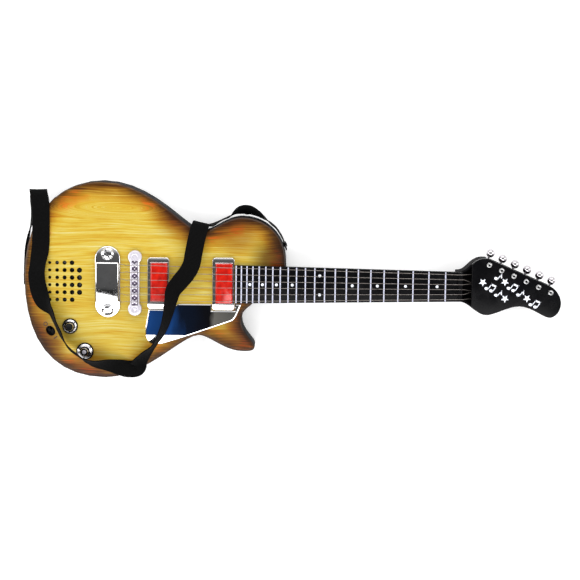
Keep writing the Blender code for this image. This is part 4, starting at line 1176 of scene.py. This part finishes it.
def strings():
    for index in range(STRING_COUNT):
        saddle_y, nut_y = string_y(index, SADDLE_PITCH), string_y(index, NUT_PITCH)
        cover_y = COVER_STRING_Y[index]
        post = post_at(index)
        end = post + (Vector((COVER_X, cover_y)) - post).normalized() * 2
        bow = 0.7 * (-1) ** index
        route = (
            (-19.6, saddle_y, 46.5), (-16, saddle_y + bow, 48.2), (-10, saddle_y - bow, 50.2),
            (-5, saddle_y, 51.6), (0, saddle_y, SADDLE_STRING_Z), (5, saddle_y, SADDLE_STRING_Z),
            (NUT.x - 2, nut_y, NUT_STRING_Z), (NUT.x + 2, nut_y, NUT_STRING_Z - 0.1),
            (NUT.x + 4.4, nut_y, NUT_STRING_Z - 1.2), (COVER_X - 1, cover_y, COVER_STRING_Z + 0.2),
            (COVER_X + 2, cover_y + 0.3, COVER_STRING_Z - 0.4), (end.x, end.y, 39.6),
        )
        curve = bpy.data.curves.new("string", "CURVE")
        curve.dimensions = "3D"
        curve.bevel_depth = (STRING_R if index < 3 else STRING_R - 0.06) * MM
        curve.bevel_resolution = 4
        curve.use_fill_caps = True
        spline = curve.splines.new("POLY")
        spline.points.add(len(route) - 1)
        for point, place in zip(spline.points, route):
            point.co = (*(Vector(place) * MM), 1)
        wire = add_object("wire", from_curve(curve))
        edit(wire, lambda bm: bmesh.ops.remove_doubles(bm, verts=bm.verts, dist=0.000005))
        look = "wound_string" if index < 3 else "plain_string"
        piece(f"string_{index + 1}_wire", wire, look, f"string_{index + 1}", angle=60)


# ---- hardware


FOOT_R, BRIDGE_TOP = 8.6, 47.4
TROUGH = Vector((3.9, 28.2))
TROUGH_FLOOR = 44.2


def bridge():
    base, top = low("bridge").z, BRIDGE_TOP
    foot_y = high("bridge").y - FOOT_R
    foot = [
        (0, top - 0.9), (2.6, top - 0.9), (3.2, top - 0.2), (4.2, top), (7.6, top), (8.3, top - 0.4),
        (FOOT_R, top - 1.2), (FOOT_R, base), (0, base),
    ]
    bar = block((-5.7, -foot_y, base), (5.7, foot_y, 47))
    for side in (-1, 1):
        join(bar, turned(foot, at(0, side * foot_y)))
    cut(bar, block((*-TROUGH, TROUGH_FLOOR), (*TROUGH, 50)))
    bevel(bar, 0.35, segments=2, angle=50)
    piece("bridge_casting", bar, "silver", "bridge")

    def blocks(bm):
        for index in range(STRING_COUNT):
            y = string_y(index, SADDLE_PITCH)
            for dx in (-2.3, 2.3):
                add_box(bm, (dx - 0.9, y - 2.7, 44), (dx + 0.9, y + 2.7, 49.6))
            add_box(bm, (-2.2, y - 1.3, 44), (2.2, y + 1.3, 51.2))
            add_cylinder(bm, 0.9, 44, 48.4, (0, y + 4.65), segments=20)

    # The trough's floor is laid in a darker mauve: painted shade in the recess between the saddles.
    trough = block((-3.85, -28.1, 44.1), (3.85, 28.1, 44.5))
    piece("bridge_trough_painted_shade", trough, "trough_shade_mauve")
    saddles = bevel(shape(blocks), 0.25, segments=2)
    piece("bridge_saddles", saddles, "silver")


def crown(obj, flat_half, upper, lower, centre_y):
    """Bends a long plate's ends down, past flat_half from its middle, as upper and lower say."""
    rows = [vert.co.y / MM for vert in obj.data.vertices]

    def bend(bm):
        steps = np.arange(min(rows) + 1, max(rows), 1)
        slice_faces(bm, [f for f in bm.faces if f.normal.z > 0.9], 1, steps)
        base = min(v.co.z for v in bm.verts)
        top = max(v.co.z for v in bm.verts)
        for vert in bm.verts:
            past = max(0, abs(vert.co.y / MM - centre_y) - flat_half)
            share = (vert.co.z - base) / (top - base)
            drop = upper if vert.co.y / MM > centre_y else lower
            vert.co.z -= drop(past) * MM * share

    return edit(obj, bend)


LOWER_SLOPE = 0.17
PLATE_THICK = 3.6
FLAT_HALF = 25
SCREW_Y = 35.5


def tailpiece():
    box_low, box_high = low("tailpiece"), high("tailpiece")
    x, y = middle("tailpiece").xy
    r, half = (box_high.x - box_low.x) / 2, (box_high.y - box_low.y) / 2
    outline = []
    for side in (1, -1):
        for step in range(25):
            spot = polar(r, 180 * step / 24 + (0 if side > 0 else 180))
            outline.append(Vector((x, y + side * (half - r))) + spot)
    base, top = box_low.z, box_low.z + PLATE_THICK
    plate = bevel(extruded(outline, base, top), 1.3, segments=4, angle=50)
    crown(plate, FLAT_HALF, lambda past: 0.0042 * past * past, lambda past: LOWER_SLOPE * past, y)
    piece("tailpiece_plate", plate, "chrome", "tailpiece", angle=60)
    cover = block((x - 14.6, y - FLAT_HALF, base + 1.7), (x + 14.4, y + FLAT_HALF, box_high.z))
    bevel(cover, 1.6, segments=5)
    piece("tailpiece_block", cover, "chrome", angle=60)
    profile = [
        (0, 3.2), (2, 3.17), (4, 2.95), (5.6, 2.5), (6.8, 1.85), (7.5, 1.2), (7.8, 0.6),
        (7.8, 0), (6.6, -0.6), (0, -0.6),
    ]
    for name, side, angle, tip, sink in (
        ("upper", 1, -62, -3, 0.3),
        ("lower", -1, 38, 9.6, LOWER_SLOPE * (SCREW_Y - FLAT_HALF)),
    ):
        place = at(x, y + side * SCREW_Y, top - sink) @ rotated(tip, "X")
        head = turned(profile, place)
        cut(head, block((-9, -1, 1.7), (9, 1, 5), place @ rotated(angle)))
        bevel(head, 0.12, segments=2, angle=40)
        node = f"tailpiece_screw_{name}"
        piece(f"{node}_head", head, "chrome", node)


def round_rectangle(start, end, radius, steps=8):
    """Points round a box's x and y, counter-clockwise from its right side."""
    points = []
    left, right, near, far = start.x + radius, end.x - radius, start.y + radius, end.y - radius
    for quarter, centre in enumerate(((right, far), (left, far), (left, near), (right, near))):
        for step in range(steps + 1):
            points.append(Vector(centre) + polar(radius, 90 * (quarter + step / steps)))
    return points


def pickup(place):
    node, lens_node = f"pickup_frame_{place}", f"pickup_lens_{place}"
    start, end = low(node), high(node)
    lens_low, lens_high = low(lens_node), high(lens_node)
    gap = Vector((GAP, GAP, 10))
    rim = extruded(round_rectangle(start, end, 4), start.z, end.z)
    cut(rim, block(lens_low - gap, lens_high + gap))
    bevel(rim, 1, segments=4, angle=50)
    crown(rim, 26.6, lambda past: 0.1 * past, lambda past: 0.2 * past, 0)
    piece(f"{node}_plated", rim, "chrome", node, angle=50)
    lens = extruded(round_rectangle(lens_low, lens_high, 1), lens_low.z, lens_high.z)
    bevel(lens, 1.6, segments=5, angle=50)
    piece(f"{lens_node}_clear", lens, "lens", lens_node)


GUARD_RIM, GUARD_RIM_DROP = 1.4, 0.35
GUARD_BEND_Y, GUARD_SLOPE = -66, 0.1


def pickguard():
    """A flat mirror with a fine sloping rim, and a lower corner that falls away."""
    base, top = low("pickguard").z, high("pickguard").z
    guard = prism(GUARD_OUTLINE, base, top - GUARD_RIM_DROP)

    def rim(bm):
        face = max(bm.faces, key=lambda f: f.calc_center_median().z)
        bmesh.ops.inset_region(
            bm, faces=[face], thickness=GUARD_RIM * MM, depth=GUARD_RIM_DROP * MM, use_even_offset=True)

    def bend(bm):
        slice_faces(bm, [f for f in bm.faces if f.normal.z > 0.05], 1, [GUARD_BEND_Y])
        for vert in bm.verts:
            past = max(0, GUARD_BEND_Y - vert.co.y / MM)
            share = (vert.co.z / MM - base) / (top - base)
            vert.co.z -= past * GUARD_SLOPE * share * MM

    edit(guard, rim)
    bevel(guard, 0.4, segments=3, angle=50)
    edit(guard, bend)
    piece("pickguard_plate", guard, "mirror chrome", "pickguard", angle=4)
    for face in guard.data.polygons:
        face.material_index = 0 if face.normal.z > 0.999 else 1


def knobs():
    for name in ("volume", "tone"):
        node = f"{name}_knob"
        x, y = middle(node).xy
        base, r = low(node).z, (high(node).x - low(node).x) / 2
        place = at(x, y, base)
        skirt = [
            (3.4, 0.5), (r - 1.7, 0.5), (r - 1.5, 1.4), (r - 1.8, 1.8), (r - 2.6, 2.2), (5.6, 3),
            (5.1, 3.6), (5, 4.7), (4.9, 8.1), (4.6, 8.7), (4.2, 9), (3.6, 8.9), (3.1, 8.4),
            (2.6, 7.9), (0, 7.8), (0, 6.8), (3.4, 6.8), (3.4, 0.5),
        ]
        # ring: a black band round the skirt's foot, painted shade where the knob meets the cover.
        painted_shade_ring = [
            (3.6, 0), (r - 0.25, 0), (r, 0.4), (r, 1.2), (r - 0.3, 1.6), (r - 1.3, 1.6),
            (r - 1.6, 0.4), (3.6, 0.4), (3.6, 0),
        ]
        pin = [(0, 0.5), (0.6, 0.45), (0.8, 0.2), (0.8, -0.6), (0, -0.6)]
        collar = [(5, 2.9), (6.6, 2.85), (6.6, 3.3), (6.2, 3.5), (5, 3.6), (5, 2.9)]
        # dish: a black centre, a painted dark reflection. cap: a silver spot on the tone knob only, a
        # painted highlight.
        painted_reflection_dish = [(0, 8.4), (2.2, 8.5), (3.4, 8.9), (4.2, 9.1), (4.6, 8.9), (4.6, 8), (0, 8)]
        painted_highlight_cap = [(0, 8.7), (0.4, 8.7), (0.6, 9), (2, 9), (2.5, 8.8), (2.6, 8.2), (0, 8.2)]

        def pins(bm):
            for angle in (40, 150, 262):
                add_turned(bm, pin, place @ at(*polar(r - 2.5, angle), 2.2), steps=20)

        piece(f"{node}_plated", turned(skirt, place, 64), "satin", node, node)
        piece(f"{node}_ring", turned(painted_shade_ring, place, 64), "rubber", body=node)
        piece(f"{node}_pins", shape(pins), "rubber", body=node)
        piece(f"{node}_collar", turned(collar, place), "rubber", body=node)
        piece(f"{node}_dish", turned(painted_reflection_dish, place), "rubber", body=node)
        # Painted highlight: only the tone knob gets the bright centre.
        if name == "tone":
            piece(f"{node}_cap", turned(painted_highlight_cap, place), "silver", body=node)


def power_switch():
    turn, start = SWITCH_TURN, -SWITCH_TRAVEL / 2
    profile = [(0, 37.2), (0.62, 37.4), (0.86, 38.4), (0.94, 39.3), (1, 39.4), (1, 33), (0, 33)]
    oval = turn @ Matrix.Diagonal((6.4, 5, 1, 1))
    painted_reflection_dish = turned(profile, oval)
    cut(painted_reflection_dish, block((-4.6, -2.2, 35.6), (4.6, 2.2, 45), turn))
    join(painted_reflection_dish, block((-9, -4.4, 30), (9, 4.4, 35.6), turn))
    piece("power_switch_dish", painted_reflection_dish, "gloss", "power_switch_body")

    def grooves(bm):
        for dx in (-1.3, 0, 1.3):
            place = turn @ at(start + dx, 0, 41.1) @ rotated(90, "X")
            add_cylinder(bm, 0.35, -3, 3, segments=16, turn=place)

    slider = block((start - 2, -1.8, 36), (start + 2, 1.8, 41), turn)
    bevel(slider, 0.45, segments=3)
    cut(slider, shape(grooves))
    piece("power_switch_thumb", slider, "gloss", "power_switch_slider", "power_slider")

    def marks(bm):
        """A ring at one end of the travel and a bar at the other."""
        level = BODY_TOP - 0.04
        painted_shade_ring = [(1.6, 0), (2.9, 0), (2.9, 0.1), (1.6, 0.1), (1.6, 0)]
        add_turned(bm, painted_shade_ring, turn @ at(-10.6, 0, level), steps=32)
        add_box(bm, (-0.75, -2.8, 0), (0.75, 2.8, 0.1), turn @ at(10.6, 0, level))

    piece("switch_marks", shape(marks), "dark_ink")


def jack_socket():
    profile = [
        (1.8, 1.2), (2.2, 1.6), (3.6, 1.6), (3.8, 1.2), (5.2, 1.2), (5.8, 0.8), (5.8, 0.3), (3.9, 0.3),
        (3.9, -12), (0, -12), (0, -9), (1.8, -9), (1.8, 1.2),
    ]
    socket = turned(profile, sideways(*JACK, -90))
    piece("jack_socket_ring", socket, "gloss", "jack_socket")


def strap_buttons():
    profile = [
        (0, 4.6), (1.6, 4.55), (2.8, 4.3), (3.5, 3.9), (3.8, 3.5), (3.7, 3.25), (3.2, 3.15),
        (2.2, 3.1), (2, 2.9), (2, 1.2), (2.2, 0.9), (3.4, 0.8), (3.6, 0.6), (3.6, 0.4), (0, 0.4),
    ]
    for name, (x, y, angle) in STRAP_BUTTONS.items():
        node = f"strap_button_{name}"
        peg = turned(profile, sideways(x, y, BUTTON_Z, angle))
        piece(f"{node}_peg", peg, "gloss", node)


# ---- strap


def smooth_route(route, steps):
    """Catmull-Rom through the stations, as arrays of centres and width directions."""
    values = np.array([(*centre, *Vector(width).normalized()) for centre, width in route])
    padded = np.vstack([values[:1], values, values[-1:]])
    made = []
    for i in range(len(values) - 1):
        p0, p1, p2, p3 = padded[i:i + 4]
        for t in np.arange(steps) / steps:
            made.append(0.5 * (
                2 * p1 + (p2 - p0) * t + (2 * p0 - 5 * p1 + 4 * p2 - p3) * t**2
                + (3 * p1 - p0 - 3 * p2 + p3) * t**3
            ))
    made.append(values[-1])
    return np.array(made)


def strap():
    """Ribbed ribbon: every rib is in the mesh, between two plain selvedges."""
    dense = smooth_route(STRAP_ROUTE, 24)
    lengths = np.concatenate([[0], np.cumsum(np.linalg.norm(np.diff(dense[:, :3], axis=0), axis=1))])
    rows = int(lengths[-1] / (RIB_PITCH / 4))
    along = np.linspace(0, lengths[-1], rows)
    track = np.stack([np.interp(along, lengths, dense[:, k]) for k in range(6)], axis=1)
    centre, width = track[:, :3], track[:, 3:]
    tangent = np.gradient(centre, axis=0)
    tangent /= np.linalg.norm(tangent, axis=1)[:, None]
    width = width - tangent * np.sum(width * tangent, axis=1)[:, None]
    width /= np.linalg.norm(width, axis=1)[:, None]
    normal = np.cross(tangent, width)
    across = np.array([-1, -0.97, -0.92, -0.86, -0.6, -0.3, 0, 0.3, 0.6, 0.86, 0.92, 0.97, 1])
    half = STRAP_THICK / 2
    body = np.where(np.abs(across) > 0.9, 1.05, 0.82)
    body[[0, -1]] = 0.35
    ribbed = np.where(np.abs(across) > 0.88, 0.25, 1)
    wave = np.cos(along * 2 * math.pi / RIB_PITCH)
    rings = []
    for side in (1, -1):
        order = range(len(across)) if side > 0 else range(len(across) - 1, -1, -1)
        for k in order:
            lift = side * (half * body[k] + RIB_HEIGHT * ribbed[k] * wave)
            rings.append(centre + width * across[k] * STRAP_WIDTH / 2 + normal * lift[:, None])
    columns = len(rings)
    points = np.stack(rings, axis=1).reshape(-1, 3) * MM
    index = np.arange(rows * columns).reshape(rows, columns)
    ahead = np.roll(index, -1, axis=1)
    quads = np.stack([index[:-1], ahead[:-1], ahead[1:], index[1:]], axis=-1).reshape(-1, 4)
    mesh = bpy.data.meshes.new("strap")
    caps = [list(map(int, index[0][::-1])), list(map(int, index[-1]))]
    mesh.from_pydata(points.tolist(), [], quads.tolist() + caps)
    for name, values in (
        ("along", np.repeat(along, columns)),
        ("across", np.tile(np.concatenate([across, across[::-1]]) * STRAP_WIDTH / 2, rows)),
    ):
        made = mesh.attributes.new(name, "FLOAT", "POINT")
        made.data.foreach_set("value", values.astype(np.float32))
    band = add_object("strap", mesh)
    edit(band, lambda bm: bmesh.ops.recalc_face_normals(bm, faces=bm.faces))

    def eyelets(bm):
        for x, y, angle in STRAP_BUTTONS.values():
            add_cylinder(bm, EYELET_R, 0.2, 9, turn=sideways(x, y, BUTTON_Z, angle), segments=32)

    cut(band, shape(eyelets))
    piece("strap_webbing", band, "webbing", "strap", angle=80)

    def stitches(bm):
        """A sewn box with a cross behind each eyelet, where the end is folded back."""
        near, far, edge = 15, 29, 8
        corners = (
            (near, -edge), (near, edge), (far, edge), (far, -edge), (near, -edge), (far, edge),
            (far, -edge), (near, edge),
        )

        def spot(end, sign, s, u, side):
            i = int(np.clip(end + sign * s / (along[1] - along[0]), 0, rows - 1))
            return Vector(centre[i] + width[i] * u + normal[i] * side * (half + 0.02)) * MM

        for end, sign in ((0, 1), (rows - 1, -1)):
            for (s0, u0), (s1, u1) in zip(corners, corners[1:]):
                count = max(2, int(math.hypot(s1 - s0, u1 - u0) / 2.2))
                for k in range(count):
                    for side in (1, -1):
                        a, b = (
                            spot(end, sign, s0 + (s1 - s0) * t, u0 + (u1 - u0) * t, side)
                            for t in ((k + 0.12) / count, (k + 0.78) / count)
                        )
                        turn = (b - a).to_track_quat("Z", "Y").to_matrix().to_4x4()
                        bmesh.ops.create_cone(
                            bm, cap_ends=True, segments=6, radius1=0.22 * MM, radius2=0.22 * MM,
                            depth=(b - a).length, matrix=Matrix.Translation((a + b) / 2) @ turn,
                        )

    sewn = piece("strap_stitching", shape(stitches), "thread")


# ---- inside


def repaint():
    """CAD nodes that stay: only their material changes."""
    kept = {
        "steel": ("battery_spring_plate", "battery_contact_plate", "volume_pot", "tone_pot"),
        "circuit": ("circuit_board", "led_board_bridge", "led_board_neck"),
        # The speaker frame takes the black look: painted shade, so that the grille holes read black.
        "rubber": ("speaker_frame",),
        "paper": ("speaker_cone",),
    }
    for look, nodes in kept.items():
        for node in nodes:
            paint(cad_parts[node], look)


# ---- studio

WHITE = (1, 1, 1)


def softbox(name, place, size, power):
    data = bpy.data.lights.new(name, "AREA")
    data.shape = "RECTANGLE"
    data.size, data.size_y = size
    data.energy = power
    light = add_object(name, data)
    light.location = place
    light.rotation_euler = (Vector((0.19, 0, 0.03)) - Vector(place)).to_track_quat("-Z", "Y").to_euler()


def sky(world):
    """White round the horizon. Overhead it has dark bands for the plating to reflect."""
    world.use_nodes = True
    tree = Tree(world.node_tree, "Generated", 1)
    _, y, z = tree.axes()
    bands = tree.ramp(tree.math("MULTIPLY_ADD", y, -0.5, 0.5), *(
        (position, (value,) * 3) for position, value in (
            (0.32, 1), (0.42, 0.12), (0.575, 0.1), (0.59, 0.02), (0.66, 0.02), (0.7, 1), (0.8, 1),
            (0.82, 0.03), (0.94, 0.03), (0.97, 1),
        )
    ))
    background = world.node_tree.nodes["Background"].inputs
    overhead = tree.span(z, 0.12, 0.32, smooth=False)
    tree.put(background["Color"], tree.mix(overhead, WHITE, bands))
    background["Strength"].default_value = 0.9


def studio():
    scene = bpy.context.scene
    scene.view_settings.view_transform = "Standard"
    floor = shape(lambda bm: bmesh.ops.create_grid(bm, x_segments=2, y_segments=2, size=6))
    floor.name = "floor"
    look = Look("floor_paper", (0.93,) * 3, 0.75, Emission_Color=WHITE, Emission_Strength=0.28)
    look.bump(look.noise(0.2), 0.02, 0.05)
    floor.data.materials.append(look.material)
    scene.world = bpy.data.worlds.new("studio")
    sky(scene.world)
    softbox("key", (0.1, -0.92, 1.66), (2.4, 1), 28)
    softbox("left", (-1.5, 0.2, 1.1), (0.8, 1.6), 16)
    softbox("right", (1.9, 0.2, 1.1), (0.8, 1.6), 16)
    softbox("back", (0.2, 1.7, 1.1), (2.2, 0.6), 20)

    data = bpy.data.cameras.new("camera")
    data.sensor_width = 36
    data.lens = 93.6
    target, distance = Vector((0.195, -0.007, 0.040)), 1.9
    tilt, roll = math.radians(6.4), 0.67
    back = Vector((0, math.sin(tilt), math.cos(tilt)))
    up = back.cross(polar(1, roll).to_3d()).normalized()
    turn = Matrix((up.cross(back), up, back)).transposed().to_4x4()
    scene.camera = add_object("camera", data)
    scene.camera.matrix_world = Matrix.Translation(target + back * distance) @ turn


front_cover()
back_shell()
battery_door()
screws()
batteries()
neck_shell()
fretboard()
nut()
headstock()
tuners()
strings()
bridge()
tailpiece()
pickup("bridge")
pickup("neck")
pickguard()
knobs()
power_switch()
jack_socket()
strap_buttons()
strap()
repaint()
studio()
